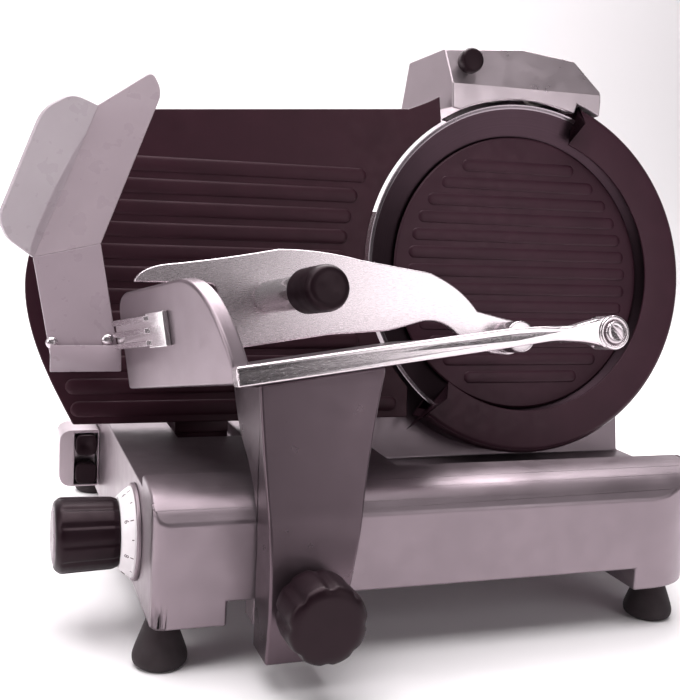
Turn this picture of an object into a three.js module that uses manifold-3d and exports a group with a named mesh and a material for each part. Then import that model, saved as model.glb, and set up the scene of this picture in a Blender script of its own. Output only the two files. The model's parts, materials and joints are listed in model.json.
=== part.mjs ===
// Gravity-feed deli meat slicer with a 12 inch blade, in millimetres, +Z up.
//
// The model is laid out in the "bench frame": the origin lies on the bench below the blade's centre,
// +X is the way the carriage travels to cut, +Y points away from the operator and +Z points up.
// The blade, the gauge plate and everything on the carriage sit in the "blade frame": the same
// origin raised to the blade's centre and leaned back by TILT, so that its local x is the carriage
// travel, its local y (called b) runs up the face of the blade, and its local z (called n) comes
// out of the cutting plane towards the operator. n = 0 is the cutting plane.

import * as THREE from 'three';
import { mergeVertices } from 'three/addons/utils/BufferGeometryUtils.js';
import Module from 'manifold-3d';

const wasm = await Module();
wasm.setup();

// ---- driving dimensions ---------------------------------------------------------------------

const TILT = THREE.MathUtils.degToRad(9.7);       // lean of the blade and the gauge plate
const BLADE_H = 243.7;                            // blade centre above the bench
const BLADE_R = 152.4;                            // 12 inch blade
const GUARD_R = 165;                              // outside of the ring guard
const COVER_R = 124.6;                            // blade cover disc
const GAP = 0.3;                                  // clearance between pieces that touch

const WALL = 5;                                   // cast wall of the base
const BASE_LEFT = -370;
const BASE_RIGHT = 120;
const BASE_FRONT = -231;
const BASE_BACK = 215;
const BASE_BOTTOM = 47;                           // underside of the skirt between the pads
const PAD_BOTTOM = 31;                            // underside of the foot pads
const DECK_TOP = 72;                              // low deck under the ring guard
const BLOCK_TOP = 110;                            // raised left-hand block
const BLOCK_RIGHT = -178;
const BEAM_TOP = 118;                             // shoulder of the front beam
const BEAM_BACK = -180;
const PEDESTAL_TOP = 165;

const DIAL_Y = -154;                              // slice thickness dial, axis along X
const DIAL_Z = 71;
const THICKNESS_MAX = 14;                         // gauge plate travel
const DIAL_TURN = THREE.MathUtils.degToRad(345);  // full turn of the dial
const SCROLL_START = 9.5;                         // pin distance from the dial axis at zero

const RAIL_Y = -205;                              // round guide rod of the carriage
const RAIL_Z = 76;
const RAIL_R = 9;
const ARM_LEFT = -306;                            // left face of the carriage arm
const PIVOT_Y = -247;                             // tilt pin of the arm
const PIVOT_Z = 30;
const LOCK_X = -281;
const LOCK_Z = 60;

const TRAY_X = -320;                              // tray corner in the blade frame
const TRAY_B = -91;
const TRAY_ROLL = THREE.MathUtils.degToRad(7.5);  // the tray rises towards the blade
const TRAY_NEAR = 215;
const WALL_TURN = THREE.MathUtils.degToRad(14.9); // the wall splays out towards the gauge plate
const ROD_U = 271;                                // press rod in the tray frame
const ROD_V = -6;
const ROD_R = 6;
const PRESS_N = 60;                               // rest position of the meat press

const SLIDE_X = -300;                             // guide rod of the gauge plate, in the blade frame
const SLIDE_B = -172;
const SLIDE_R = 6;

const MOTOR_B = -128;                             // motor shaft below the blade centre
const BUTTON_X = -57;                             // push button of the sharpener
const BUTTON_B = 186;

// ---- materials --------------------------------------------------------------------------------

const finish = (color, roughness, metalness) =>
  new THREE.MeshStandardMaterial({ color, roughness, metalness });

const castAluminium = () => finish(0xb4a9ad, 0.42, 0.9);
const polishedAluminium = () => finish(0xd0c8cb, 0.28, 0.95);
const darkCoating = () => finish(0x3a262b, 0.4, 0.35);
const bladeSteel = () => finish(0x5a4e54, 0.2, 1);
const steel = () => finish(0x9a9598, 0.3, 1);
const blackPlastic = () => finish(0x2e2024, 0.5, 0);
const blackRubber = () => finish(0x2a1e21, 0.85, 0);
const hazyPlastic = () => finish(0xb7a9af, 0.3, 0);
const whitePlastic = () => finish(0xd8d0d2, 0.45, 0);
const bronze = () => finish(0x8f6a3c, 0.45, 0.9);
const stone = () => finish(0x8d8682, 0.95, 0);

// ---- solids and booleans ------------------------------------------------------------------------

function asSolid(shape) {
  if (!shape.isBufferGeometry) return shape;
  const bare = shape.clone();
  bare.deleteAttribute('normal');
  bare.deleteAttribute('uv');
  const merged = mergeVertices(bare, 1e-4);
  return new wasm.Manifold(new wasm.Mesh({
    numProp: 3,
    vertProperties: Float32Array.from(merged.attributes.position.array),
    triVerts: Uint32Array.from(merged.index.array),
  }));
}

function asGeometry(shape) {
  if (shape.isBufferGeometry) return shape;
  const mesh = shape.getMesh();
  const geometry = new THREE.BufferGeometry();
  geometry.setAttribute('position', new THREE.BufferAttribute(mesh.vertProperties, 3));
  geometry.setIndex(new THREE.BufferAttribute(mesh.triVerts, 1));
  return geometry;
}

const join = (...parts) => parts.map(asSolid).reduce((all, part) => all.add(part));
const cut = (body, ...tools) => tools.map(asSolid).reduce((all, tool) => all.subtract(tool), asSolid(body));
const common = (...parts) => parts.map(asSolid).reduce((all, part) => all.intersect(part));

function piece(parent, name, shape, material) {
  const mesh = new THREE.Mesh(asGeometry(shape), material);
  mesh.name = name;
  parent.add(mesh);
  return mesh;
}

// Moves a geometry from one frame of the scene graph to another.
function carried(geometry, from, to) {
  from.updateWorldMatrix(true, false);
  to.updateWorldMatrix(true, false);
  const matrix = to.matrixWorld.clone().invert().multiply(from.matrixWorld);
  return geometry.clone().applyMatrix4(matrix);
}

// ---- shapes -------------------------------------------------------------------------------------

function box(x0, x1, y0, y1, z0, z1) {
  const geometry = new THREE.BoxGeometry(x1 - x0, y1 - y0, z1 - z0);
  return geometry.translate((x0 + x1) / 2, (y0 + y1) / 2, (z0 + z1) / 2);
}

function rodX(radius, x0, x1, y, z, segments = 20) {
  const geometry = new THREE.CylinderGeometry(radius, radius, x1 - x0, segments);
  return geometry.rotateZ(-Math.PI / 2).translate((x0 + x1) / 2, y, z);
}

function rodY(radius, y0, y1, x, z, segments = 20) {
  return new THREE.CylinderGeometry(radius, radius, y1 - y0, segments).translate(x, (y0 + y1) / 2, z);
}

function rodZ(radius, z0, z1, x = 0, y = 0, segments = 20) {
  const geometry = new THREE.CylinderGeometry(radius, radius, z1 - z0, segments);
  return geometry.rotateX(Math.PI / 2).translate(x, y, (z0 + z1) / 2);
}

// A closed outline; a corner is [x, y] or [x, y, reach], and reach rounds it off.
function outline(corners) {
  const shape = new THREE.Shape();
  const point = (corner) => new THREE.Vector2(corner[0], corner[1]);
  corners.forEach((corner, i) => {
    const here = point(corner);
    const before = point(corners[(i + corners.length - 1) % corners.length]);
    const after = point(corners[(i + 1) % corners.length]);
    const reach = corner[2] ?? 0;
    const start = here.clone().add(before.sub(here).setLength(reach));
    const end = here.clone().add(after.sub(here).setLength(reach));
    if (i === 0) shape.moveTo(start.x, start.y);
    else shape.lineTo(start.x, start.y);
    if (reach > 0) shape.quadraticCurveTo(here.x, here.y, end.x, end.y);
  });
  shape.closePath();
  return shape;
}

// Extrusions along each axis: shapes lie in (x, y), (y, z) and (x, z).
function alongZ(shape, z0, z1, curveSegments = 6) {
  const geometry = new THREE.ExtrudeGeometry(shape, { depth: z1 - z0, bevelEnabled: false, curveSegments });
  return geometry.translate(0, 0, z0);
}

function alongX(shape, x0, x1, curveSegments = 6) {
  const turn = new THREE.Matrix4().makeBasis(
    new THREE.Vector3(0, 1, 0),
    new THREE.Vector3(0, 0, 1),
    new THREE.Vector3(1, 0, 0),
  );
  return alongZ(shape, x0, x1, curveSegments).applyMatrix4(turn);
}

function alongY(shape, y0, y1, curveSegments = 6) {
  const turn = new THREE.Matrix4().makeBasis(
    new THREE.Vector3(1, 0, 0),
    new THREE.Vector3(0, 0, 1),
    new THREE.Vector3(0, -1, 0),
  );
  return alongZ(shape, -y1, -y0, curveSegments).applyMatrix4(turn);
}

// A turned piece about local z; the profile is [radius, z] pairs in order, either way round.
function turned(profile, segments = 28) {
  const points = profile.map(([radius, z]) => new THREE.Vector2(radius, z));
  if (THREE.ShapeUtils.area(points) < 0) points.reverse();
  if (points[0].x !== 0) points.push(points[0].clone());
  return new THREE.LatheGeometry(points, segments).rotateX(Math.PI / 2);
}

// The same about a bench-frame X axis, for knobs that point to the left.
function turnedAlongX(profile, y, z, segments = 28) {
  return turned(profile, segments).rotateY(Math.PI / 2).translate(0, y, z);
}

// The band between two radii from angle a0 to a1, in degrees.
function sectorShape(inner, outer, a0, a1) {
  const start = THREE.MathUtils.degToRad(a0);
  const end = THREE.MathUtils.degToRad(a1);
  const shape = new THREE.Shape();
  shape.absarc(0, 0, outer, start, end, false);
  shape.absarc(0, 0, inner, end, start, true);
  shape.closePath();
  return shape;
}

// ---- frames -------------------------------------------------------------------------------------

const slicer = new THREE.Group();
const bench = new THREE.Group();
slicer.add(bench);

const blade = new THREE.Group();
blade.position.set(0, 0, BLADE_H);
blade.rotation.x = Math.PI / 2 - TILT;
bench.add(blade);

const tray = new THREE.Group();
tray.position.set(TRAY_X, TRAY_B, 0);
tray.rotation.z = TRAY_ROLL;
blade.add(tray);

// ---- base ---------------------------------------------------------------------------------------

const PLAN = [
  [BASE_LEFT, BASE_FRONT, 10],
  [42, BASE_FRONT, 52],
  [42, -172, 40],
  [BASE_RIGHT, -70, 50],
  [BASE_RIGHT, BASE_BACK, 30],
  [BASE_LEFT, BASE_BACK, 22],
];

function insetPlan(by) {
  return outline([
    [BASE_LEFT + by, BASE_FRONT + by, 6],
    [42 - by, BASE_FRONT + by, 48],
    [42 - by, -170, 38],
    [BASE_RIGHT - by, -68, 48],
    [BASE_RIGHT - by, BASE_BACK - by, 26],
    [BASE_LEFT + by, BASE_BACK - by, 18],
  ]);
}

// Side outline (y, z) of the front beam with its rounded shoulder.
function beamProfile(by) {
  return outline([
    [BASE_FRONT + by, BASE_BOTTOM - 4 * by],
    [BASE_FRONT + by, 99, 6],
    [-221 + by, 113 - by, 5],
    [-203, BEAM_TOP - by, 5],
    [BEAM_BACK - by, BEAM_TOP - by, 3],
    [BEAM_BACK - by, BASE_BOTTOM - 4 * by],
  ]);
}

// Side outline (y, z) of the pedestal; its front follows the back of the blade.
function pedestalProfile(by) {
  return outline([
    [1 + by, DECK_TOP - 6 - 4 * by],
    [17.5 + by, PEDESTAL_TOP - by],
    [190 - by, PEDESTAL_TOP - by, 12],
    [190 - by, DECK_TOP - 6 - 4 * by],
  ]);
}

const PADS = {
  front_left: { x0: BASE_LEFT, x1: -322, y0: BASE_FRONT, y1: -184, foot: [-360, -208] },
  front_right: { x0: -20, x1: 40, y0: BASE_FRONT, y1: -176, foot: [12, -205] },
  rear_left: { x0: BASE_LEFT, x1: -322, y0: 168, y1: BASE_BACK, foot: [-360, 192] },
  rear_right: { x0: 72, x1: BASE_RIGHT, y0: 168, y1: BASE_BACK, foot: [94, 190] },
};

function baseOuter() {
  const beam = alongX(beamProfile(0), BASE_LEFT, 60);
  const body = box(BASE_LEFT, BASE_RIGHT, BASE_FRONT + 10, BASE_BACK, BASE_BOTTOM, DECK_TOP);
  const block = box(BASE_LEFT, BLOCK_RIGHT, -196, BASE_BACK, BASE_BOTTOM, BLOCK_TOP);
  const pedestal = alongX(pedestalProfile(0), BLOCK_RIGHT - 2, 115);
  const endWall = box(BASE_LEFT, BASE_LEFT + 9, BASE_FRONT, BASE_BACK, PAD_BOTTOM + 1, DECK_TOP);
  const plan = alongZ(outline(PLAN), 0, 200);
  return common(join(beam, body, block, pedestal, endWall), plan);
}

function baseHollow() {
  const beam = alongX(beamProfile(WALL), BASE_LEFT, 60);
  const body = box(BASE_LEFT, BASE_RIGHT, BASE_FRONT, BASE_BACK, 0, DECK_TOP - WALL);
  const block = box(BASE_LEFT, BLOCK_RIGHT - WALL, -212, BASE_BACK, 30, BLOCK_TOP - WALL);
  const pedestal = alongX(pedestalProfile(WALL), BLOCK_RIGHT + 3, 110);
  return common(join(beam, body, block, pedestal), alongZ(insetPlan(WALL), -1, 200));
}

// Ribs inside the beam that carry the ends of the guide rod and the rear rail.
function railRibs() {
  const rib = (x0, x1) => join(
    box(x0, x1, BASE_FRONT + 2, BEAM_BACK - 2, 56, 91),
    box(x0, x1, BEAM_BACK - 8, -92, 50, 70),
  );
  return join(rib(-334, -324), rib(-16, -6));
}

// Ribs under the block's roof that carry the ends of the gauge plate's guide rod.
function slideRibs() {
  return join(box(-314, -286, -128, -116, 66, 106), box(-314, -286, 66, 78, 47, 106));
}

function baseCasting() {
  const plan = alongZ(outline(PLAN), 0, 200);
  const pads = Object.values(PADS).map((pad) =>
    common(box(pad.x0, pad.x1, pad.y0, pad.y1, PAD_BOTTOM, 54), plan));
  const shell = join(cut(baseOuter(), baseHollow()), ...pads, railRibs(), slideRibs());
  const feet = Object.values(PADS).map((pad) => rodZ(4.3, 20, 44, pad.foot[0], pad.foot[1], 16));
  return cut(
    shell,
    ...feet,
    rodX(6.4, BASE_LEFT - 5, BASE_LEFT + 12, DIAL_Y, DIAL_Z, 24),
    rodX(RAIL_R + GAP, -330, -10, RAIL_Y, RAIL_Z),
    box(-330, -10, -114 - GAP, -102 + GAP, 56 - GAP, 64 + GAP),
    carried(rodZ(SLIDE_R + GAP, -112, 98, SLIDE_X, SLIDE_B, 24), blade, bench),
    box(-322, -270, -48, 22, BLOCK_TOP - 10, BLOCK_TOP + 2),
    box(-36, 36, 44, 66, PEDESTAL_TOP - 10, PEDESTAL_TOP + 2),
    box(BASE_LEFT - 1, BASE_LEFT + 12, 66, 90, 50, 84),
    rodY(7, BASE_BACK - 8, BASE_BACK + 8, -300, 80, 20),
  );
}

function foot([x, y]) {
  const rubber = [[0, 0], [14, 0], [17.5, 2.5], [18, 7], [16.5, 12], [9.5, 30.7]];
  const profile = [...rubber, [4, 30.7], [4, 42], [0, 42]];
  return turned(profile, 18).translate(x, y, 0);
}

function bottomCover() {
  const plate = box(-360, 112, -84, 206, BASE_BOTTOM - 2.3, BASE_BOTTOM - GAP);
  const padCorners = ['rear_left', 'rear_right'].map((key) => {
    const pad = PADS[key];
    return box(pad.x0 - 5, pad.x1 + 5, pad.y0 - 2, pad.y1 + 5, 40, 50);
  });
  const vent = (i) => box(-70 + 22 * i, -58 + 22 * i, 60, 130, 40, 50);
  return cut(plate, ...padCorners, ...[0, 1, 2, 3, 4, 5].map(vent));
}

function buildBase() {
  piece(bench, 'base_casting', baseCasting(), castAluminium());
  piece(bench, 'bottom_cover', bottomCover(), steel());
  for (const [key, pad] of Object.entries(PADS)) {
    piece(bench, `foot_${key}`, foot(pad.foot), blackRubber());
  }
  piece(bench, 'guide_rod', rodX(RAIL_R, -329.5, -10.5, RAIL_Y, RAIL_Z), steel());
  piece(bench, 'rear_rail', box(-329.5, -10.5, -114, -102, 56, 64), steel());
  piece(bench, 'cord_gland', cordGland(), blackPlastic());
}

function cordGland() {
  const body = join(
    rodY(6.5, BASE_BACK - 9, BASE_BACK + 2, -300, 80, 20),
    rodY(11, BASE_BACK + GAP, BASE_BACK + 8, -300, 80, 6),
    rodY(8.5, BASE_BACK + 7, BASE_BACK + 16, -300, 80, 20),
  );
  return cut(body, rodY(3.6, BASE_BACK - 12, BASE_BACK + 20, -300, 80, 16));
}

// ---- switch -------------------------------------------------------------------------------------

const SWITCH = { x0: -404, x1: BASE_LEFT - GAP, y0: 60, y1: 98, z0: 42, z1: 92 };

function switchBezel() {
  const body = alongY(outline([
    [SWITCH.x0, SWITCH.z0, 12],
    [SWITCH.x1, SWITCH.z0, 2],
    [SWITCH.x1, SWITCH.z1, 2],
    [SWITCH.x0, SWITCH.z1, 12],
  ]), SWITCH.y0, SWITCH.y1);
  const wells = [70, 45].map((z) => box(-391, -372, SWITCH.y0 - 1, SWITCH.y0 + 16, z - 0.5, z + 18.5));
  return cut(body, ...wells, box(-393, -360, 80, 88, 52, 82), box(-388, -376, 70, 84, 50, 86));
}

function switchButton(z) {
  return alongY(outline([[-390.4, z, 3], [-372.6, z, 3], [-372.6, z + 18, 3], [-390.4, z + 18, 3]]),
    SWITCH.y0 - 4, SWITCH.y0 + 8, 3);
}

function buildSwitch() {
  piece(bench, 'switch_bezel', switchBezel(), castAluminium());
  piece(bench, 'start_button', switchButton(70), blackPlastic());
  piece(bench, 'stop_button', switchButton(45), blackPlastic());
  piece(bench, 'control_box', box(-364.5, -322, 60, 140, 58, 100), blackPlastic());
}

// ---- slice thickness dial -----------------------------------------------------------------------

// Spiral slot of the scroll; the follower pin stands in the direction of -n from the dial axis.
function scrollSlot(halfWidth) {
  const steps = 30;
  const point = (i, side) => {
    const turn = DIAL_TURN * i / steps;
    const radius = SCROLL_START + THICKNESS_MAX * i / steps + side * halfWidth;
    const angle = -TILT - turn;
    return new THREE.Vector2(radius * Math.cos(angle), radius * Math.sin(angle));
  };
  const outer = [];
  const inner = [];
  for (let i = -3; i <= steps + 3; i += 1) {
    outer.push(point(i, 1));
    inner.push(point(i, -1));
  }
  return new THREE.Shape([...outer, ...inner.reverse()]);
}

function scrollCam() {
  const disc = rodX(29, -352, -344, DIAL_Y, DIAL_Z, 32);
  const slot = alongX(scrollSlot(3.2), -349, -343).translate(0, DIAL_Y, DIAL_Z);
  return cut(disc, slot, rodX(5 + GAP, -353, -350.5, DIAL_Y, DIAL_Z, 24));
}

function dialKnob() {
  const flutes = Array.from({ length: 12 }, (_, i) => {
    const angle = 2 * Math.PI * i / 12;
    return rodX(3, -430, -388, DIAL_Y + 27 * Math.cos(angle), DIAL_Z + 27 * Math.sin(angle), 8);
  });
  const outside = [[0, -424], [22, -424], [25.5, -421], [24.8, -386], [23.5, -382.3], [0, -382.3]];
  const body = turnedAlongX(outside,
    DIAL_Y, DIAL_Z, 36);
  return cut(body, ...flutes, rodX(5 + GAP, -412, -381, DIAL_Y, DIAL_Z, 24));
}

function dialRing() {
  return turnedAlongX([[5.4, -382], [25, -382], [31, -373.8], [33, -373.2], [33, -370.4], [5.4, -370.4]],
    DIAL_Y, DIAL_Z, 32);
}

function buildDial() {
  piece(bench, 'dial_knob', dialKnob(), blackPlastic());
  piece(bench, 'graduated_ring', dialRing(), whitePlastic());
  piece(bench, 'dial_shaft', rodX(5, -411.5, -351, DIAL_Y, DIAL_Z, 24), steel());
  piece(bench, 'scroll_cam', scrollCam(), bronze());
}

// ---- gauge plate --------------------------------------------------------------------------------

// Outline (x, b) of the gauge plate; its right edge follows the blade.
function gaugeOutline() {
  const shape = new THREE.Shape();
  const edgeR = BLADE_R + 2.2;
  const from = THREE.MathUtils.degToRad(121.5);
  const to = THREE.MathUtils.degToRad(222);
  shape.moveTo(-400, -130);
  shape.bezierCurveTo(-420, -92, -437, -56, -437, -20);
  shape.bezierCurveTo(-437, 12, -417, 56, -390, 104);
  shape.quadraticCurveTo(-381, 122, -366, 123);
  shape.lineTo(-112, 141.7);
  shape.quadraticCurveTo(-95, 148, -82, 155);
  shape.lineTo(edgeR * Math.cos(from), edgeR * Math.sin(from));
  shape.absarc(0, 0, edgeR, from, to, false);
  shape.lineTo(-116, -130);
  shape.closePath();
  return shape;
}

function gaugePlate() {
  const plate = alongZ(gaugeOutline(), -10, -3, 16);
  const pitch = 18;
  const ribs = Array.from({ length: 12 }, (_, i) => {
    const b = -118 + pitch * i;
    const right = -Math.sqrt((BLADE_R + 20) ** 2 - Math.min(Math.abs(b), 120) ** 2);
    const left = b > 60 ? -404 + (b - 60) * 0.5 : -424 + Math.abs(b + 20) * 0.22;
    return box(left, right, b - 4, b + 4, -3.5, -1);
  });
  return join(plate, ...ribs);
}

// Bracket that carries the plate: a foot in the deck slot and an arm back to the slide.
function gaugeBracket() {
  const foot = box(-318, -274, -139, -110, -24, -10 - GAP);
  const post = box(-318, -274, -178, -128, -24, -12);
  const arm = box(-341, -274, -178, -166, -34, 0);
  return join(foot, post, arm);
}

function buildGauge() {
  piece(blade, 'gauge_plate', gaugePlate(), darkCoating());
  const guide = rodZ(SLIDE_R, -110, 96, SLIDE_X, SLIDE_B, 24);
  const pin = pinPosition();
  const link = join(
    box(-341, -333, SLIDE_B - 6, SLIDE_B + 6, -4, pin.n + 6),
    box(-341, -336, Math.min(SLIDE_B, pin.b) - 6, Math.max(SLIDE_B, pin.b) + 6, pin.n - 6, pin.n + 6),
    rodX(2.6, -348, -338, pin.b, pin.n, 16),
  );
  const bracket = cut(join(gaugeBracket(), link), rodZ(SLIDE_R + 0.5, -120, 120, SLIDE_X, SLIDE_B, 24));
  piece(blade, 'gauge_bracket', bracket, castAluminium());
  piece(blade, 'gauge_guide_rod', guide, steel());
}

// The follower pin at rest, in the blade frame.
function pinPosition() {
  const y = DIAL_Y + SCROLL_START * Math.cos(TILT);
  const z = DIAL_Z - SCROLL_START * Math.sin(TILT) - BLADE_H;
  return {
    b: y * Math.sin(TILT) + z * Math.cos(TILT),
    n: -y * Math.cos(TILT) + z * Math.sin(TILT),
  };
}

// ---- blade, its cover and its guard -------------------------------------------------------------

function bladeDisc() {
  return turned([
    [12.5, -20.5], [122, -20.5], [144, -11], [BLADE_R, -0.5], [BLADE_R, 0], [149.9, -0.3], [148.7, -1.2],
    [127, -11.5], [119, -16.5], [12.5, -16.5],
  ], 72);
}

function spindle() {
  return turned([
    [5.5, -78], [9, -78], [9, -26], [30, -26], [30, -20.8], [12.1, -20.8], [12.1, -16.7], [5.5, -16.7],
  ], 20);
}

function bladePulley() {
  return turned([
    [9.3, -76], [16, -76], [16, -71], [38, -71], [38, -76], [46, -76], [46, -74.5], [43, -73], [43, -64],
    [46, -62.5], [46, -61], [38, -61], [38, -66], [9.3, -66],
  ], 28);
}

function bladeCover() {
  const disc = turned([
    [0, -15.6], [113, -15.6], [117, -13],
    [COVER_R - 1, -12], [COVER_R, -11], [COVER_R - 1.5, -9.6], [0, -9.6],
  ], 56);
  const pitch = 16;
  const ribs = Array.from({ length: 13 }, (_, i) => {
    const b = -96 + pitch * i;
    const half = Math.sqrt(112 ** 2 - b ** 2);
    return box(-half, half, b - 3, b + 3, -10, -8);
  });
  return join(disc, ...ribs);
}

// Ring guard: a channel round the blade's rim, open to the left where the blade cuts.
function ringGuard() {
  const ring = turned([
    [126.5, 1], [156.5, 1], [156.5, -24], [70, -24], [70, -27.7], [GUARD_R, -27.7], [GUARD_R, -1],
    [161, 3.2], [126.5, 3.2],
  ], 72);
  const wedge = alongZ(sectorShape(40, 200, -128, 69), -40, 10, 24);
  return common(ring, wedge);
}

function bladeHousing() {
  const shape = (by) => {
    const half = 72 - by;
    const form = new THREE.Shape();
    form.moveTo(half, -100);
    form.lineTo(half, 0);
    form.absarc(0, 0, half, 0, Math.PI, false);
    form.lineTo(-half, -100);
    form.closePath();
    return form;
  };
  const shell = cut(
    alongZ(shape(0), -86, -28.2, 12),
    alongZ(shape(5), -90, -33, 12),
  );
  const boss = rodZ(24, -60, -30, 0, 0, 28);
  const strut = cut(
    alongZ(outline([[-20, 60], [40, 60], [40, 152, 4], [-20, 152, 4]]), -66, -50),
    box(-10, 30, 86, 140, -70, -40),
  );
  const belowTop = carried(box(-200, 200, -100, 300, 0, PEDESTAL_TOP + GAP), bench, blade);
  return cut(
    join(shell, boss, strut, deflectorPin()),
    rodZ(17 + GAP, -62, -52, 0, 0, 24),
    rodZ(12, -62, -20, 0, 0, 20),
    rodZ(17 + GAP, -38, -20, 0, 0, 24),
    belowTop,
  );
}

function bearing(n0, n1) {
  return cut(rodZ(17, n0, n1, 0, 0, 24), rodZ(9.5, n0 - 1, n1 + 1, 0, 0, 20));
}

function rearCover() {
  const shape = (by) => {
    const half = 72 - by;
    const form = new THREE.Shape();
    form.moveTo(half, -72);
    form.lineTo(half, 0);
    form.absarc(0, 0, half, 0, Math.PI, false);
    form.lineTo(-half, -72);
    form.closePath();
    return form;
  };
  const shell = cut(
    alongZ(shape(0), -108, -86 - GAP, 12),
    alongZ(shape(4), -104, -80, 12),
    rodZ(7, -112, -100, 0, 0, 24),
  );
  const belowTop = carried(box(-200, 200, -100, 300, 0, PEDESTAL_TOP + GAP), bench, blade);
  return cut(shell, belowTop);
}

function coverKnob() {
  const lobes = Array.from({ length: 6 }, (_, i) => {
    const angle = Math.PI * i / 3;
    return rodZ(5, -135, -114, 22 * Math.cos(angle), 22 * Math.sin(angle), 8);
  });
  const body = turned([[0, -130], [18, -130], [21, -127], [20, -112], [12, -108.6], [0, -108.6]], 24);
  return cut(body, ...lobes, rodZ(5.2, -126, -100, 0, 0, 24));
}

function beltLoop(n0, n1) {
  const radiusTop = 43.6;
  const radiusLow = 15.6;
  const thick = 3.4;
  const drop = -MOTOR_B;
  const loop = (by) => {
    const lean = Math.asin((radiusTop - radiusLow) / drop);
    const shape = new THREE.Shape();
    shape.absarc(0, 0, radiusTop + by, -lean, Math.PI + lean, false);
    shape.absarc(0, MOTOR_B, radiusLow + by, Math.PI + lean, 2 * Math.PI - lean, false);
    shape.closePath();
    return shape;
  };
  return cut(alongZ(loop(thick), n0, n1, 14), alongZ(loop(0), n0 - 1, n1 + 1, 14));
}

// The motor's shaft with its pulley.
function motorPulley() {
  return turned([
    [0, -118], [7, -118], [7, -76],
    [18.5, -76], [18.5, -75], [15, -73], [15, -64], [18.5, -62], [18.5, -61],
    [0, -61],
  ], 20).translate(0, MOTOR_B, 0);
}

function motorBody() {
  const body = turned([
    [0, -170], [28, -170], [36, -166], [38, -160], [38, -98], [34, -90], [16, -84], [0, -84],
  ], 24).translate(0, MOTOR_B, 0);
  const feet = carried(box(-34, 34, 70, 140, 53, 64), bench, blade);
  return cut(join(body, feet), rodZ(7.6, -120, -80, 0, MOTOR_B, 24));
}

function deflector() {
  const sheet = new THREE.Shape();
  sheet.moveTo(-76, -70);
  sheet.quadraticCurveTo(-110, -60, -146, -96);
  sheet.lineTo(-144, -98);
  sheet.quadraticCurveTo(-110, -63, -76, -73);
  sheet.closePath();
  const turn = new THREE.Matrix4().makeBasis(
    new THREE.Vector3(1, 0, 0),
    new THREE.Vector3(0, 0, 1),
    new THREE.Vector3(0, -1, 0),
  );
  const plate = alongZ(sheet, -60, 50, 8).applyMatrix4(turn);
  const barrel = new THREE.CylinderGeometry(4, 4, 120, 16).translate(-77, 0, -71.5);
  return cut(join(plate, barrel), new THREE.CylinderGeometry(2.4, 2.4, 140, 16).translate(-77, 0, -71.5));
}

function deflectorPin() {
  const pin = new THREE.CylinderGeometry(2, 2, 142, 16).translate(-77, 0, -71.5);
  const lugs = [-66, 66].map((b) => box(-82, -70, b - 4, b + 4, -76, -67));
  return join(pin, ...lugs);
}

function buildBlade() {
  piece(blade, 'blade', bladeDisc(), bladeSteel());
  piece(blade, 'blade_spindle', spindle(), steel());
  piece(blade, 'blade_pulley', bladePulley(), castAluminium());
  piece(blade, 'blade_cover', bladeCover(), darkCoating());
  piece(blade, 'cover_tie_rod', rodZ(4.5, -124, -15.9, 0, 0, 24), steel());
  piece(blade, 'cover_knob', coverKnob(), blackPlastic());
  piece(blade, 'ring_guard', ringGuard(), darkCoating());
  piece(blade, 'blade_housing', bladeHousing(), castAluminium());
  piece(blade, 'front_bearing', bearing(-37.5, -28.5), steel());
  piece(blade, 'rear_bearing', bearing(-61, -52), steel());
  piece(blade, 'rear_cover', rearCover(), castAluminium());
  piece(blade, 'drive_belt', beltLoop(-72, -65), blackRubber());
  piece(blade, 'motor_pulley', motorPulley(), steel());
  piece(blade, 'motor_body', motorBody(), castAluminium());
  piece(blade, 'slice_deflector', deflector(), polishedAluminium());
}

// ---- sharpener ----------------------------------------------------------------------------------

// Front outline (x, b), side outline (b, n) and plan (x, n) meet in the sharpener's faceted hood.
function sharpenerHood(by) {
  const front = new THREE.Shape();
  front.moveTo(-96 + by, 150);
  front.lineTo(-96 + by, 198 - by);
  front.lineTo(-72, 200 - by);
  front.lineTo(5, 207 - by);
  front.lineTo(59 - by, 200 - by);
  front.lineTo(82 - by, 169 - by);
  front.lineTo(78 - by, 138);
  front.lineTo(0, 130);
  front.closePath();
  const plan = outline([[-72 + by, 2 - by], [-92 + by, -70 + by], [81, -70 + by], [81, 2 - by]]);
  const side = outline([
    [120, 2 - by], [167, 2 - by], [207 - by, -10 - by], [210 - by, -22], [198 - by, -58], [152, -72 + by],
    [120, -72 + by],
  ]);
  const planSolid = alongY(plan, 110, 220);
  return common(alongZ(front, -80, 10, 4), planSolid, alongX(side, -120, 120));
}

function sharpenerBody() {
  const rim = rodZ(BLADE_R + 4.6, -40, 10, 0, 0, 72);
  const guardRoom = alongZ(sectorShape(40, GUARD_R + 2, 40, 70.5), -40, 10, 24);
  const hollow = common(sharpenerHood(3.5), box(-70, 56, 120, 196, -58, -3));
  const hood = cut(sharpenerHood(0), hollow, rim, guardRoom, rodZ(6.4, -16, 6, BUTTON_X, BUTTON_B, 16));
  const strutRoom = box(-22, 42, 110, 154, -72, -46);
  const axles = [-22, 22].map((x) => join(rodZ(2.9, -60, -3.2, x, 174, 20), rodZ(5, -60, -24, x, 174, 20)));
  return join(cut(hood, strutRoom), ...axles);
}

function sharpeningStone(x) {
  return turned([[3.3, -14], [16, -14], [17, -6], [3.3, -6]], 24).translate(x, 174, -8);
}

function buildSharpener() {
  piece(blade, 'sharpener_body', sharpenerBody(), polishedAluminium());
  const head = rodZ(11, 4.6, 15, BUTTON_X, BUTTON_B, 24);
  piece(blade, 'sharpener_button', join(head, rodZ(6, -10, 5, BUTTON_X, BUTTON_B, 16)), blackPlastic());
  piece(blade, 'grinding_stone', sharpeningStone(-22), stone());
  piece(blade, 'deburring_stone', sharpeningStone(22), stone());
}

// ---- carriage truck and arm ---------------------------------------------------------------------

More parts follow.
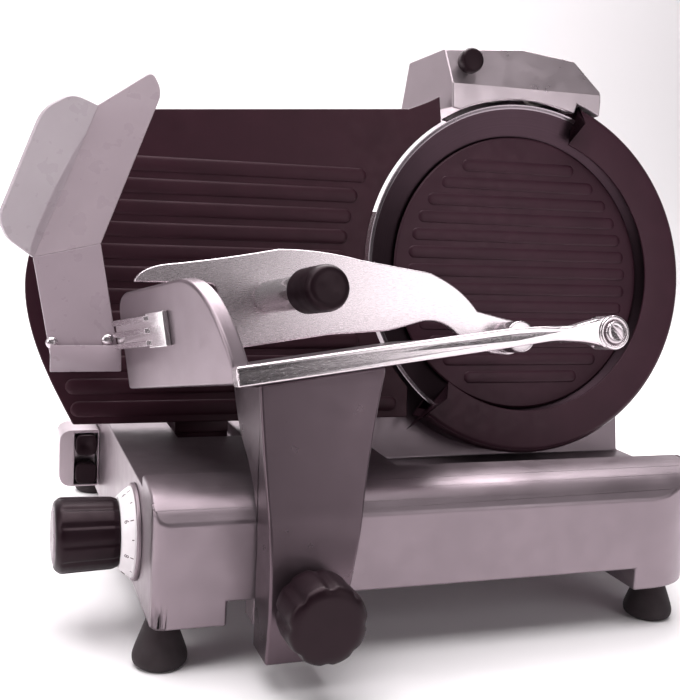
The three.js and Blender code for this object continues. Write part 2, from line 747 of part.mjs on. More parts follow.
function carriageTruck() {
  const sleeve = box(ARM_LEFT, -258, -222, -189, 58, 93);
  const web = box(-300, -264, -212, -192, 22, 60);
  const foot = box(-296, -268, -252, -190, 22, 42);
  const tail = box(-296, -268, -194, -96, 34, 44);
  const upright = alongX(outline([[-256, 21, 4], [-256, 78, 4], [-240, 78, 4], [-240, 21, 4]]), -296, -268);
  const rollerStud = join(rodZ(3, 40, 66, -282, -93.6, 20), box(-296, -268, -100, -86, 34, 44));
  const body = join(sleeve, web, foot, tail, upright, rollerStud);
  return cut(
    body,
    rodX(12, -310, -254, RAIL_Y, RAIL_Z),
    rodX(4 + 0.4, -300, -264, PIVOT_Y, PIVOT_Z, 24),
    rodY(5.6, -258, -244, LOCK_X, LOCK_Z, 24),
  );
}

function sleeveBush(x0, x1) {
  return cut(rodX(11.7, x0, x1, RAIL_Y, RAIL_Z), rodX(RAIL_R + 0.4, x0 - 1, x1 + 1, RAIL_Y, RAIL_Z));
}

function railRoller() {
  return cut(rodZ(8, 56.6, 63.4, -282, -93.6, 24), rodZ(3.4, 50, 70, -282, -93.6, 20));
}

// Side outline (y, z) of the hollow carriage arm.
function armProfile(by) {
  const shape = new THREE.Shape();
  shape.moveTo(-227 + by, 230);
  shape.lineTo(-227 + by, 190);
  shape.bezierCurveTo(-236 + by, 160, -250 + by, 130, -262 + by, 108);
  shape.bezierCurveTo(-269 + by, 92, -272 + by, 70, -270 + by, 44);
  shape.lineTo(-267 + by, 19 - by);
  shape.lineTo(-236, 19 - by);
  shape.lineTo(-236, 84);
  shape.bezierCurveTo(-236, 104, -222 - by, 122, -196 - by, 136);
  shape.bezierCurveTo(-176 - by, 147, -158 - by, 164, -152 - by, 190);
  shape.lineTo(-152 - by, 230);
  shape.closePath();
  return shape;
}

function carriageArm() {
  const side = alongX(armProfile(0), ARM_LEFT, -215, 8);
  const frontEdge = [[ARM_LEFT, 10], [-260, 10], [-259, 62], [-222, 190], [-217, 240], [ARM_LEFT, 240]];
  const front = alongY(outline(frontEdge),
    -320, -100);
  const insideSide = alongX(armProfile(5), ARM_LEFT + 5.5, -215, 8);
  const insideEdge = [[-302, 0], [-264.5, 0], [-264, 62], [-228, 182], [-302, 182]];
  const insideFront = alongY(outline(insideEdge), -320, -100);
  const openBack = box(-300.5, -264.5, -262, -230, 0, 100);
  const aboveTray = carried(box(-60, 320, -6 - GAP, 90, -20, 260), tray, bench);
  return cut(
    common(side, front),
    common(insideSide, insideFront),
    openBack,
    aboveTray,
    rodX(4 + GAP, -310, -250, PIVOT_Y, PIVOT_Z, 24),
    rodY(4.9, -280, -250, LOCK_X, LOCK_Z, 24),
  );
}

function lockKnob() {
  const front = -312;
  const back = -273;
  const length = back - front;
  const grip = turned([[0, 0], [20, 0], [24, 2.5], [25, 8], [25, 28], [23, 35], [15, 38.4], [12, length],
    [0, length]], 28);
  const flutes = Array.from({ length: 8 }, (_, i) => {
    const angle = 2 * Math.PI * (i + 0.5) / 8;
    return rodZ(6, -2, 30, 28 * Math.cos(angle), 28 * Math.sin(angle), 10);
  });
  const cutGrip = asGeometry(cut(grip, ...flutes)).rotateX(-Math.PI / 2);
  return join(cutGrip.translate(LOCK_X, front, LOCK_Z), rodY(4, back - 1, -253, LOCK_X, LOCK_Z, 24));
}

function buildCarriage() {
  piece(bench, 'carriage_truck', carriageTruck(), castAluminium());
  piece(bench, 'bush_left', sleeveBush(-305.5, -288), bronze());
  piece(bench, 'bush_right', sleeveBush(-276, -258.5), bronze());
  piece(bench, 'rail_roller', railRoller(), whitePlastic());
  piece(bench, 'carriage_arm', carriageArm(), castAluminium());
  piece(bench, 'arm_pivot_pin', rodX(4, -305.5, -262, PIVOT_Y, PIVOT_Z, 24), steel());
  piece(bench, 'lock_knob', lockKnob(), blackPlastic());
}

// ---- tray, its wall, the press rod and the hand guard -------------------------------------------

function trayTable() {
  const wallFoot = (n) => 14.3 - (TRAY_NEAR - 11 - n) * Math.tan(WALL_TURN);
  const deck = alongY(outline([
    [wallFoot(209), 209], [wallFoot(8), 8], [190, 8], [190, 209],
  ]), -4, 2);
  const lip = box(-1, 190, -6, 7, TRAY_NEAR - 10, TRAY_NEAR + 3);
  const arm = alongZ(outline([
    [180, -2], [200, -3], [236, 0], [256, 5, 4],
    [ROD_U, ROD_V + 11.5], [ROD_U, ROD_V - 11.5], [250, -10, 6],
    [225, -5, 6], [180, -6],
  ]), TRAY_NEAR - 12, TRAY_NEAR + 3);
  const upper = box(180, 205, -3, 6, TRAY_NEAR - 10, TRAY_NEAR + 3);
  const boss = rodZ(12, TRAY_NEAR - 18, TRAY_NEAR + 4, ROD_U, ROD_V, 24);
  const rims = join(box(wallFoot(14), 190, -6, 2, 8, 14), box(186, 190, -6, 2, 8, TRAY_NEAR));
  return cut(
    join(deck, lip, arm, upper, boss, rims),
    rodZ(ROD_R + GAP, TRAY_NEAR - 30, TRAY_NEAR - 4, ROD_U, ROD_V, 24),
    rodZ(4 + GAP, TRAY_NEAR - 8, TRAY_NEAR + 10, ROD_U, ROD_V, 24),
  );
}

const wallFrame = new THREE.Group();
wallFrame.position.set(0, 0, TRAY_NEAR - 11);
wallFrame.rotation.y = Math.PI / 2 + WALL_TURN;
tray.add(wallFrame);

// The wall in its own frame: x runs back along the wall, y up, z in towards the tray.
// It is a hollow casting, open below and at its near end.
function trayWall() {
  const form = (by) => {
    const shape = new THREE.Shape();
    shape.moveTo(0 - by, -5 - by);
    shape.lineTo(170 - by, -5 - by);
    shape.lineTo(170 - by, 50);
    shape.quadraticCurveTo(170 - by, 66 - by, 154 - by, 68 - by);
    shape.lineTo(66, 69 - by);
    shape.bezierCurveTo(34, 69 - by, 12 - by, 44, 0 - by, 6);
    shape.closePath();
    return shape;
  };
  const body = alongZ(form(0), 0, 13, 12);
  const slot = alongZ(form(4), 4, 8.5, 12);
  return cut(body, slot);
}

// Ribbed stainless strip on the outside of the wall; the hand guard's bar is fixed to its far end.
function guardBracket() {
  const strip = box(100, 172, 26, 48, -4.3, -GAP);
  const ribs = [26, 35, 44].map((v) => box(100, 172, v, v + 4, -6.3, -3));
  return join(strip, ...ribs);
}

// ---- hand guard ---------------------------------------------------------------------------------

// The guard is one sheet bent along two lines; its corners are in the blade frame (x, b, n).
function bentPanel(corners, thickness) {
  const points = corners.map((corner) => new THREE.Vector3(...corner));
  const normal = new THREE.Vector3()
    .subVectors(points[1], points[0])
    .cross(new THREE.Vector3().subVectors(points[2], points[0]))
    .normalize();
  const across = new THREE.Vector3().subVectors(points[1], points[0]).normalize();
  const up = new THREE.Vector3().crossVectors(normal, across);
  const frame = new THREE.Matrix4().makeBasis(across, up, normal).setPosition(points[0]);
  const inverse = frame.clone().invert();
  const flat = points.map((point) => {
    const local = point.clone().applyMatrix4(inverse);
    return new THREE.Vector2(local.x, local.y);
  });
  const rounded = outline(flat.map((point, i) => [point.x, point.y, corners[i][3] ?? 0]));
  return alongZ(rounded, -thickness / 2, thickness / 2).applyMatrix4(frame);
}

function handGuard() {
  const foldLeft = [-433, -2, 30];
  const foldRight = [-383, 10, 30];
  const foldTop = [-387, 114, 42];
  const lower = bentPanel([[-418, -88, 30], [-368, -85, 30], foldRight, foldLeft], 4);
  const upper = bentPanel([foldLeft, foldRight, [-338, 128, 42, 9], [-346, 143, 42, 7], foldTop], 4);
  const flap = bentPanel([foldLeft, foldTop, [-407, 119, 54, 9], [-428, 104, 62, 11], [-456, 22, 58, 8],
    [-449, 8, 50, 5]], 4);
  return join(lower, upper, flap);
}

function handGuardBar() {
  return box(-420.5, -368, -88, -68, 32.6, 36.6);
}

function buildTray() {
  piece(tray, 'tray', trayTable(), polishedAluminium());
  piece(wallFrame, 'tray_wall', trayWall(), castAluminium());
  piece(tray, 'press_rod', pressRod(), steel());
  piece(tray, 'rod_screw', rodScrew(), steel());
}

function pressRod() {
  return join(
    rodZ(ROD_R, 14, TRAY_NEAR - 4.5, ROD_U, ROD_V, 24),
    rodZ(9, 14, PRESS_N - 22 - GAP, ROD_U, ROD_V, 24),
  );
}

function rodScrew() {
  const head = rodZ(8, TRAY_NEAR + 4 + GAP, TRAY_NEAR + 9, ROD_U, ROD_V, 24);
  const shank = rodZ(4, TRAY_NEAR - 4, TRAY_NEAR + 5, ROD_U, ROD_V, 24);
  const slot = box(ROD_U - 1.2, ROD_U + 1.2, ROD_V - 9, ROD_V + 9, TRAY_NEAR + 7.5, TRAY_NEAR + 12);
  return cut(join(head, shank), slot);
}

// ---- meat press ---------------------------------------------------------------------------------

const rodInBlade = new THREE.Vector3(ROD_U, ROD_V, 0).applyMatrix4(
  new THREE.Matrix4().makeRotationZ(TRAY_ROLL).setPosition(TRAY_X, TRAY_B, 0));

function pressPlate() {
  const shape = new THREE.Shape();
  shape.moveTo(-362, -21);
  shape.quadraticCurveTo(-358, -8, -330, -6);
  shape.quadraticCurveTo(-290, -1, -250, 7);
  shape.quadraticCurveTo(-215, 8, -180, 0);
  shape.quadraticCurveTo(-140, -6, -120, -9);
  shape.quadraticCurveTo(-86, -22, -72, -50);
  shape.lineTo(-66, -58);
  shape.lineTo(-97, -59);
  shape.quadraticCurveTo(-110, -46, -128, -49);
  shape.quadraticCurveTo(-146, -54, -160, -57);
  shape.lineTo(-207, -60);
  shape.lineTo(-298, -73);
  shape.lineTo(-298, -21);
  shape.closePath();
  const plate = alongZ(shape, PRESS_N - 6, PRESS_N, 10);
  const earEdge = [[-100, -56], [-66, -78, 6], [rodInBlade.x, -78], [rodInBlade.x, -46], [-80, -40]];
  const ear = alongZ(outline(earEdge),
    PRESS_N - 6, PRESS_N);
  const hub = rodZ(15, PRESS_N - 6, PRESS_N, rodInBlade.x, rodInBlade.y, 24);
  return cut(
    join(plate, ear, hub),
    rodZ(11.5 + GAP, PRESS_N - 20, PRESS_N + 20, rodInBlade.x, rodInBlade.y, 24),
    rodZ(3 + GAP, PRESS_N - 20, PRESS_N + 20, -258, -31, 20),
  );
}

function pressSleeve() {
  const outer = rodZ(11, PRESS_N - 22, PRESS_N + 24, rodInBlade.x, rodInBlade.y, 24);
  const collars = join(
    rodZ(13, PRESS_N - 22, PRESS_N - 8, rodInBlade.x, rodInBlade.y, 24),
    rodZ(13, PRESS_N + 2, PRESS_N + 24, rodInBlade.x, rodInBlade.y, 24),
  );
  return cut(join(outer, collars), rodZ(ROD_R + 0.4, 0, 200, rodInBlade.x, rodInBlade.y, 24));
}

function toothPlate() {
  const teeth = Array.from({ length: 4 }, (_, i) => {
    const x = -286 + 28 * i;
    const b = -62 + 28 * i * 0.14;
    return join(
      box(x, x + 5, b - 8, b + 30, PRESS_N - 9.5, PRESS_N - 6 - GAP),
      box(x, x + 5, b, b + 5, PRESS_N - 16, PRESS_N - 6 - GAP),
    );
  });
  const backEdge = [[-292, -30], [-292, -50], [-196, -38], [-196, -18]];
  const back = alongZ(outline(backEdge), PRESS_N - 9.5, PRESS_N - 6 - GAP);
  return join(back, ...teeth);
}

const HANDLE_LEAN = THREE.MathUtils.degToRad(5);
const handle = new THREE.Group();
handle.position.set(-258, -31, PRESS_N);
handle.rotation.y = HANDLE_LEAN;
blade.add(handle);

// The spacer sleeve with the stud that holds the knob and the spacer to the plate.
function handleSpacer() {
  return join(turned([[0, 1.6], [12.5, 1.6], [12.5, 78], [0, 78]], 24), rodZ(2.6, -4, 100, 0, 0, 16));
}

function handleKnob() {
  const outside = [[0, 78.4], [15, 78.4], [16.5, 80.5], [16.5, 114], [15, 118.5], [12, 120], [0, 120]];
  return cut(turned(outside, 24),
    rodZ(3.3, 70, 102, 0, 0, 20));
}

function buildPress() {
  piece(blade, 'press_plate', pressPlate(), polishedAluminium());
  piece(blade, 'press_sleeve', pressSleeve(), steel());
  piece(blade, 'tooth_plate', toothPlate(), steel());
  piece(handle, 'handle_spacer', handleSpacer(), steel());
  piece(handle, 'press_knob', handleKnob(), blackPlastic());
}

function buildHandGuard() {
  piece(blade, 'hand_guard', handGuard(), hazyPlastic());
  piece(wallFrame, 'guard_bracket', guardBracket(), steel());
  piece(blade, 'guard_bar', handGuardBar(), steel());
}

// ---- assembly -----------------------------------------------------------------------------------

buildBase();
buildSwitch();
buildDial();
buildGauge();
buildBlade();
buildSharpener();
buildCarriage();
buildTray();
buildPress();
buildHandGuard();

// The origin goes to the middle of the footprint, on the bench.
slicer.updateMatrixWorld(true);
const extent = new THREE.Box3().setFromObject(slicer, true);
const middle = extent.getCenter(new THREE.Vector3());
bench.position.set(-middle.x, -middle.y, 0);

export default slicer;
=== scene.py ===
"""Deli meat slicer: the looks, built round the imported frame.

Lengths in the shape functions are millimetres in one of the slicer's own frames:
  bench   x along the carriage travel, y away from the operator, z up, origin on the bench below the blade
  blade   x, b up the face of the blade, n out of the cutting plane towards the operator
  tray    the blade frame shifted to the tray's corner and rolled
  wall    lies in the tray's left-hand wall
"""
import json
import math

import bmesh
import bpy
from mathutils import Matrix, Vector


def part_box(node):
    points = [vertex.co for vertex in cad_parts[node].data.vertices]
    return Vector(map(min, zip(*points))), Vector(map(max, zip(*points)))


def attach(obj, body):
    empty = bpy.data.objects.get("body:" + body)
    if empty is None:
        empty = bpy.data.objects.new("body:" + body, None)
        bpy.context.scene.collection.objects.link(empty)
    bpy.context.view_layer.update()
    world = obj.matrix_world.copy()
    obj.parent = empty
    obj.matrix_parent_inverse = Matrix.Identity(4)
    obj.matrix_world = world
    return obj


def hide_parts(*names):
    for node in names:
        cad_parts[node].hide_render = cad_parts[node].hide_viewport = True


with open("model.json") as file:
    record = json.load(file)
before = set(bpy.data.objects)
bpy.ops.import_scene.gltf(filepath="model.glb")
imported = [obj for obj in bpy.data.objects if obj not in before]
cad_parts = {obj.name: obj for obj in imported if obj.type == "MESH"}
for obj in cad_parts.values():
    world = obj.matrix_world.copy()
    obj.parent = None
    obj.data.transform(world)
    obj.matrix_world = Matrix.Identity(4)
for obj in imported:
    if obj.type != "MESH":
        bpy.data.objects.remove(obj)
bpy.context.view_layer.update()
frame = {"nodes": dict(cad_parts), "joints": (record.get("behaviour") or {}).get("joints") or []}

MM = 0.001
scene = bpy.context.scene

# ---- frames ---------------------------------------------------------------------------------------

joints = {joint["name"]: joint for joint in frame["joints"]}
blade_centre = Vector(joints["blade_spin"]["pos_m"])
normal = Vector(joints["blade_spin"]["axis"]).normalized()
uphill = normal.cross(Vector((1, 0, 0)))

BENCH = Matrix.Translation((blade_centre.x, blade_centre.y, 0))
BLADE = Matrix.Translation(blade_centre) @ Matrix((
    (1, uphill.x, normal.x, 0),
    (0, uphill.y, normal.y, 0),
    (0, uphill.z, normal.z, 0),
    (0, 0, 0, 1),
))
TRAY_NEAR = 215
WALL_TURN = 14.9
TRAY = BLADE @ Matrix.Translation((-320 * MM, -91 * MM, 0)) @ Matrix.Rotation(math.radians(7.5), 4, "Z")
WALL = TRAY @ Matrix.Translation((0, 0, (TRAY_NEAR - 11) * MM)) @ Matrix.Rotation(
    math.radians(90 + WALL_TURN), 4, "Y")
HANDLE = BLADE @ Matrix.Translation((-258 * MM, -31 * MM, 60 * MM)) @ Matrix.Rotation(
    math.radians(5), 4, "Y")
LEFTWARD = Matrix.Rotation(math.radians(90), 4, "Y")      # local z along +x
FORWARD = Matrix.Rotation(math.radians(-90), 4, "X")      # local z along +y


def at(place, x=0, y=0, z=0):
    return place @ Matrix.Translation((x * MM, y * MM, z * MM))


# ---- materials ------------------------------------------------------------------------------------

WARM = (1, 0.74, 0.82, 1)
# Between these two depths the paper's colour darkens towards the front: painted shade for the dim front of
# the room.
PAPER_PALE = -0.75      # the paper is pale behind this y, in metres
PAPER_PAINTED_SHADE_END = -1.7


class Surface:
    """A principled material with short helpers for its texture nodes."""

    def __init__(self, name, color, roughness, metallic=0.0, **sockets):
        self.material = bpy.data.materials.new(name)
        self.material.use_nodes = True
        self.nodes = self.material.node_tree.nodes
        self.links = self.material.node_tree.links
        self.shader = self.nodes["Principled BSDF"]
        self.color = color
        self.roughness = roughness
        self.shader.inputs["Base Color"].default_value = (*color, 1)
        self.shader.inputs["Roughness"].default_value = roughness
        self.shader.inputs["Metallic"].default_value = metallic
        for socket, value in sockets.items():
            self.shader.inputs[socket.replace("_", " ")].default_value = value

    def add(self, kind, **values):
        node = self.nodes.new(kind)
        for key, value in values.items():
            node.inputs[key.replace("_", " ")].default_value = value
        return node

    def coordinates(self, stretch=(1, 1, 1)):
        where = self.nodes.new("ShaderNodeTexCoord")
        mapping = self.add("ShaderNodeMapping", Scale=stretch)
        self.links.new(where.outputs["Object"], mapping.inputs["Vector"])
        return mapping.outputs["Vector"]

    def noise(self, scale, detail=3, stretch=(1, 1, 1)):
        texture = self.add("ShaderNodeTexNoise", Scale=scale, Detail=detail)
        self.links.new(self.coordinates(stretch), texture.inputs["Vector"])
        return texture.outputs["Fac"]

    def spread(self, value, low, high):
        ramp = self.add("ShaderNodeMapRange")
        ramp.inputs["To Min"].default_value = low
        ramp.inputs["To Max"].default_value = high
        ramp.inputs["From Min"].default_value = 0.3
        ramp.inputs["From Max"].default_value = 0.7
        self.links.new(value, ramp.inputs["Value"])
        return ramp.outputs["Result"]

    def vary_color(self, value, amount):
        mix = self.nodes.new("ShaderNodeMix")
        mix.data_type = "RGBA"
        shade = tuple(channel * (1 - amount) for channel in self.color)
        mix.inputs[6].default_value = (*self.color, 1)
        mix.inputs[7].default_value = (*shade, 1)
        self.links.new(self.spread(value, 0, 1), mix.inputs["Factor"])
        self.links.new(mix.outputs[2], self.shader.inputs["Base Color"])

    def vary_roughness(self, value, amount):
        rough = self.spread(value, self.roughness - amount, self.roughness + amount)
        self.links.new(rough, self.shader.inputs["Roughness"])

    def bump(self, value, strength, distance=0.0003):
        node = self.add("ShaderNodeBump", Strength=strength, Distance=distance)
        self.links.new(value, node.inputs["Height"])
        self.links.new(node.outputs["Normal"], self.shader.inputs["Normal"])


def cast_metal(name, color, roughness):
    """Blasted and anodised casting: fine grain, faint cloudiness."""
    surface = Surface(name, color, roughness, 0.82)
    surface.vary_color(surface.noise(22, 4), 0.07)
    surface.vary_roughness(surface.noise(60, 3), 0.05)
    surface.bump(surface.noise(2600, 2), 0.16)
    return surface.material


def polished_metal(name, color, roughness, stretch=(1, 9, 9)):
    """Machined sheet or plate with a faint lengthwise grain."""
    surface = Surface(name, color, roughness, 0.9)
    surface.vary_color(surface.noise(16, 3), 0.05)
    surface.vary_roughness(surface.noise(200, 3, stretch), 0.04)
    surface.bump(surface.noise(500, 2, stretch), 0.012)
    return surface.material


def coating(name, color, roughness):
    """Baked non-stick coating with a fine orange peel."""
    surface = Surface(name, color, roughness, 0.0, Specular_IOR_Level=0.27, Specular_Tint=WARM)
    surface.vary_color(surface.noise(30, 4), 0.25)
    surface.vary_roughness(surface.noise(140, 3), 0.06)
    surface.bump(surface.noise(1300, 2), 0.14)
    return surface.material


def turned_metal(name, color, roughness):
    """Steel ground round its own axis: fine rings that follow the radius."""
    surface = Surface(name, color, roughness, 1.0)
    split = surface.nodes.new("ShaderNodeSeparateXYZ")
    surface.links.new(surface.coordinates(), split.inputs["Vector"])
    flat = surface.nodes.new("ShaderNodeCombineXYZ")
    surface.links.new(split.outputs["X"], flat.inputs["X"])
    surface.links.new(split.outputs["Y"], flat.inputs["Y"])
    radius = surface.nodes.new("ShaderNodeVectorMath")
    radius.operation = "LENGTH"
    surface.links.new(flat.outputs["Vector"], radius.inputs[0])
    rings = surface.add("ShaderNodeTexNoise", Scale=1.0, Detail=4)
    rings.noise_dimensions = "1D"
    scaled = surface.add("ShaderNodeMath")
    scaled.operation = "MULTIPLY"
    scaled.inputs[1].default_value = 900
    surface.links.new(radius.outputs["Value"], scaled.inputs[0])
    surface.links.new(scaled.outputs["Value"], rings.inputs["W"])
    surface.vary_color(rings.outputs["Fac"], 0.14)
    surface.vary_roughness(surface.noise(18, 3), 0.05)
    surface.bump(rings.outputs["Fac"], 0.08)
    return surface.material


def moulded_plastic(name, color, roughness):
    surface = Surface(name, color, roughness, 0.0, Specular_IOR_Level=0.22, Specular_Tint=WARM)
    surface.vary_color(surface.noise(45, 3), 0.2)
    surface.vary_roughness(surface.noise(120, 3), 0.07)
    surface.bump(surface.noise(1800, 2), 0.12)
    return surface.material


def soft_rubber(name, color):
    surface = Surface(name, color, 0.78, 0.0)
    surface.vary_color(surface.noise(60, 4), 0.3)
    surface.vary_roughness(surface.noise(90, 3), 0.08)
    surface.bump(surface.noise(900, 3), 0.2)
    return surface.material


def hazy_sheet(name, color, alpha):
    """Translucent acrylic; its haze lets the dark plate behind show through, and the copies' tones paint
    light and shade on the guard's facets.
    """
    surface = Surface(name, color, 0.3, 0.0, Alpha=alpha, Coat_Weight=0.3, Coat_Roughness=0.15)
    surface.vary_color(surface.noise(24, 3), 0.06)
    surface.vary_roughness(surface.noise(70, 3), 0.05)
    surface.bump(surface.noise(700, 2), 0.05)
    return surface.material


def abrasive(name, color):
    surface = Surface(name, color, 0.95, 0.0)
    surface.vary_color(surface.noise(900, 4), 0.45)
    surface.bump(surface.noise(1500, 3), 0.6)
    return surface.material


def studio_paper(name, color, dim):
    """Pale paper whose colour darkens towards the front: painted shade for the dim front of the room."""
    surface = Surface(name, color, 0.95, 0.0, Specular_IOR_Level=0.1)
    split = surface.nodes.new("ShaderNodeSeparateXYZ")
    surface.links.new(surface.coordinates(), split.inputs["Vector"])
    fade = surface.add("ShaderNodeMapRange")
    fade.inputs["From Min"].default_value = PAPER_PALE
    fade.inputs["From Max"].default_value = PAPER_PAINTED_SHADE_END
    surface.links.new(split.outputs["Y"], fade.inputs["Value"])
    # The mix paints the shade: the dim colour takes over towards the front.
    mix = surface.nodes.new("ShaderNodeMix")
    mix.data_type = "RGBA"
    mix.inputs[6].default_value = (*color, 1)
    mix.inputs[7].default_value = (*dim, 1)
    surface.links.new(fade.outputs["Result"], mix.inputs["Factor"])
    surface.links.new(mix.outputs[2], surface.shader.inputs["Base Color"])
    return surface.material


CAST = cast_metal("cast_aluminium", (0.235, 0.19, 0.212), 0.38)
# Painted shade: the arm is a darker copy of the cast aluminium, standing for the dark front of the room
# mirrored in its upturned face.
ARM = cast_metal("arm_aluminium_painted_shade", (0.115, 0.083, 0.098), 0.32)
CAST_DARK = cast_metal("cast_aluminium_inside", (0.30, 0.245, 0.27), 0.5)
POLISHED = polished_metal("polished_aluminium", (0.70, 0.63, 0.66), 0.24)
SATIN = cast_metal("satin_aluminium", (0.50, 0.425, 0.46), 0.32)
WALL_METAL = cast_metal("wall_aluminium", (0.25, 0.203, 0.227), 0.36)
COATING = coating("dark_coating", (0.030, 0.009, 0.015), 0.42)
COVER = coating("cover_coating", (0.036, 0.013, 0.021), 0.40)
# Painted shade: the blade face is steel given a near-black colour that stands for the dark room its mirror
# face reflects. The lighter edge copy is partly the ground bevel's own finish and partly painted light.
BLADE_FACE_PAINTED_SHADE = turned_metal("blade_face_painted_shade", (0.055, 0.034, 0.043), 0.34)
BLADE_EDGE = turned_metal("blade_edge", (0.34, 0.29, 0.32), 0.24)
PRESS = polished_metal("press_aluminium", (0.66, 0.585, 0.62), 0.27)
STEEL = polished_metal("satin_steel", (0.58, 0.52, 0.55), 0.25)
BRIGHT = polished_metal("bright_steel", (0.90, 0.87, 0.88), 0.14)
TURNED = turned_metal("turned_steel", (0.58, 0.52, 0.55), 0.24)
PLASTIC = moulded_plastic("black_plastic", (0.008, 0.003, 0.005), 0.40)
PLASTIC_CAP = moulded_plastic("grey_plastic", (0.16, 0.115, 0.14), 0.32)
RUBBER = soft_rubber("black_rubber", (0.018, 0.009, 0.012))
DIAL_WHITE = moulded_plastic("white_plastic", (0.88, 0.84, 0.86), 0.42)
INK = moulded_plastic("dial_ink", (0.10, 0.06, 0.075), 0.5)
BRONZE = polished_metal("bearing_bronze", (0.44, 0.30, 0.14), 0.35)
STONE = abrasive("abrasive_stone", (0.36, 0.33, 0.31))
# The second colour is the painted shade the paper takes at the front of the room.
PAPER = studio_paper("studio_paper", (0.93, 0.905, 0.92), (0.30, 0.28, 0.29))
# One acrylic sheet in three tones by facet: the lower copy darker as painted shade, the flap copy lighter
# and clearer as painted light.
GUARD_UPPER = hazy_sheet("guard_upper", (0.44, 0.36, 0.40), 0.88)
GUARD_LOWER = hazy_sheet("guard_lower", (0.38, 0.305, 0.345), 0.90)
GUARD_FLAP = hazy_sheet("guard_flap", (0.47, 0.40, 0.44), 0.72)


# ---- outlines -------------------------------------------------------------------------------------

def rounded(corners, steps=8, closed=True):
    """A smooth outline; a corner is (x, y) or (x, y, reach), and reach rounds it off."""
    points = []
    count = len(corners)
    for i, corner in enumerate(corners):
        here = Vector(corner[:2])
        reach = corner[2] if len(corner) > 2 else 0
        if reach == 0 or (not closed and i in (0, count - 1)):
            points.append(here)
            continue
        before = Vector(corners[i - 1][:2])
        after = Vector(corners[(i + 1) % count][:2])
        start = here + (before - here).normalized() * reach
        end = here + (after - here).normalized() * reach
        for k in range(steps + 1):
            t = k / steps
            points.append(start * (1 - t) ** 2 + here * 2 * t * (1 - t) + end * t ** 2)
    return points


def bezier(p0, c0, c1, p1, steps=14):
    """Points of a cubic curve after its first point."""
    p0, c0, c1, p1 = (Vector(p) for p in (p0, c0, c1, p1))
    found = []
    for k in range(1, steps + 1):
        t = k / steps
        s = 1 - t
        found.append(p0 * s ** 3 + c0 * 3 * s * s * t + c1 * 3 * s * t * t + p1 * t ** 3)
    return found


def bow(p0, c, p1, steps=10):
    """Points of a quadratic curve after its first point."""
    p0, c, p1 = Vector(p0), Vector(c), Vector(p1)
    return [p0 * (1 - k / steps) ** 2 + c * 2 * (k / steps) * (1 - k / steps) + p1 * (k / steps) ** 2
            for k in range(1, steps + 1)]


def arc(radius, start, end, steps, centre=(0, 0)):
    turns = [math.radians(start + (end - start) * k / steps) for k in range(steps + 1)]
    return [Vector((centre[0] + radius * math.cos(a), centre[1] + radius * math.sin(a))) for a in turns]


# ---- meshes ---------------------------------------------------------------------------------------

def new_object(name, bm, place, materials, sharp=32):
    bmesh.ops.recalc_face_normals(bm, faces=bm.faces)
    mesh = bpy.data.meshes.new(name)
    for face in bm.faces:
        face.smooth = True
    bm.to_mesh(mesh)
    bm.free()
    mesh.set_sharp_from_angle(angle=math.radians(sharp))
    for material in materials:
        mesh.materials.append(material)
    made = bpy.data.objects.new(name, mesh)
    scene.collection.objects.link(made)
    made.matrix_world = place
    return made


def slab(name, points, low, high, place, material):
    """An outline in local (x, y), filled from z = low to z = high."""
    bm = bmesh.new()
    ring = [bm.verts.new((p[0] * MM, p[1] * MM, low * MM)) for p in points]
    base = bm.faces.new(ring)
    raised = bmesh.ops.extrude_face_region(bm, geom=[base])
    moved = [v for v in raised["geom"] if isinstance(v, bmesh.types.BMVert)]
    bmesh.ops.translate(bm, verts=moved, vec=(0, 0, (high - low) * MM))
    return new_object(name, bm, place, [material])


def block(name, x0, x1, y0, y1, z0, z1, place, material):
    return slab(name, [(x0, y0), (x1, y0), (x1, y1), (x0, y1)], z0, z1, place, material)


def turned(name, profile, place, material, segments=96, ripple=None, closed=False):
    """A (radius, z) profile turned about local z; ripple(angle, radius, z) reshapes the radius."""
    bm = bmesh.new()
    rings = []
    for radius, height in profile:
        if radius < 1e-6:
            rings.append([bm.verts.new((0, 0, height * MM))] * segments)
            continue
        ring = []
        for k in range(segments):
            angle = 2 * math.pi * k / segments
            reach = ripple(angle, radius, height) if ripple else radius
            spot = Vector((reach * math.cos(angle), reach * math.sin(angle), height))
            ring.append(bm.verts.new(spot * MM))
        rings.append(ring)
    pairs = list(zip(rings, rings[1:]))
    if closed:
        pairs.append((rings[-1], rings[0]))
    for lower, upper in pairs:
        for k in range(segments):
            corners = [lower[k], lower[(k + 1) % segments], upper[(k + 1) % segments], upper[k]]
            unique = list(dict.fromkeys(corners))
            if len(unique) > 2:
                bm.faces.new(unique)
    return new_object(name, bm, place, [material])


def swept_arc(name, profile, start, end, place, material, steps=150):
    """A closed (radius, z) profile swept about local z from one angle to another, with flat ends."""
    bm = bmesh.new()
    rings = []
    for k in range(steps + 1):
        angle = math.radians(start + (end - start) * k / steps)
        rings.append([bm.verts.new((r * math.cos(angle) * MM, r * math.sin(angle) * MM, z * MM))
                      for r, z in profile])
    count = len(profile)
    for near, far in zip(rings, rings[1:]):
        for i in range(count):
            bm.faces.new([near[i], near[(i + 1) % count], far[(i + 1) % count], far[i]])
    bm.faces.new(rings[0])
    bm.faces.new(rings[-1])
    return new_object(name, bm, place, [material])


def applied(obj):
    """Turns the object's modifiers into its mesh."""
    graph = bpy.context.evaluated_depsgraph_get()
    mesh = bpy.data.meshes.new_from_object(obj.evaluated_get(graph))
    obj.modifiers.clear()
    obj.data = mesh
    return obj


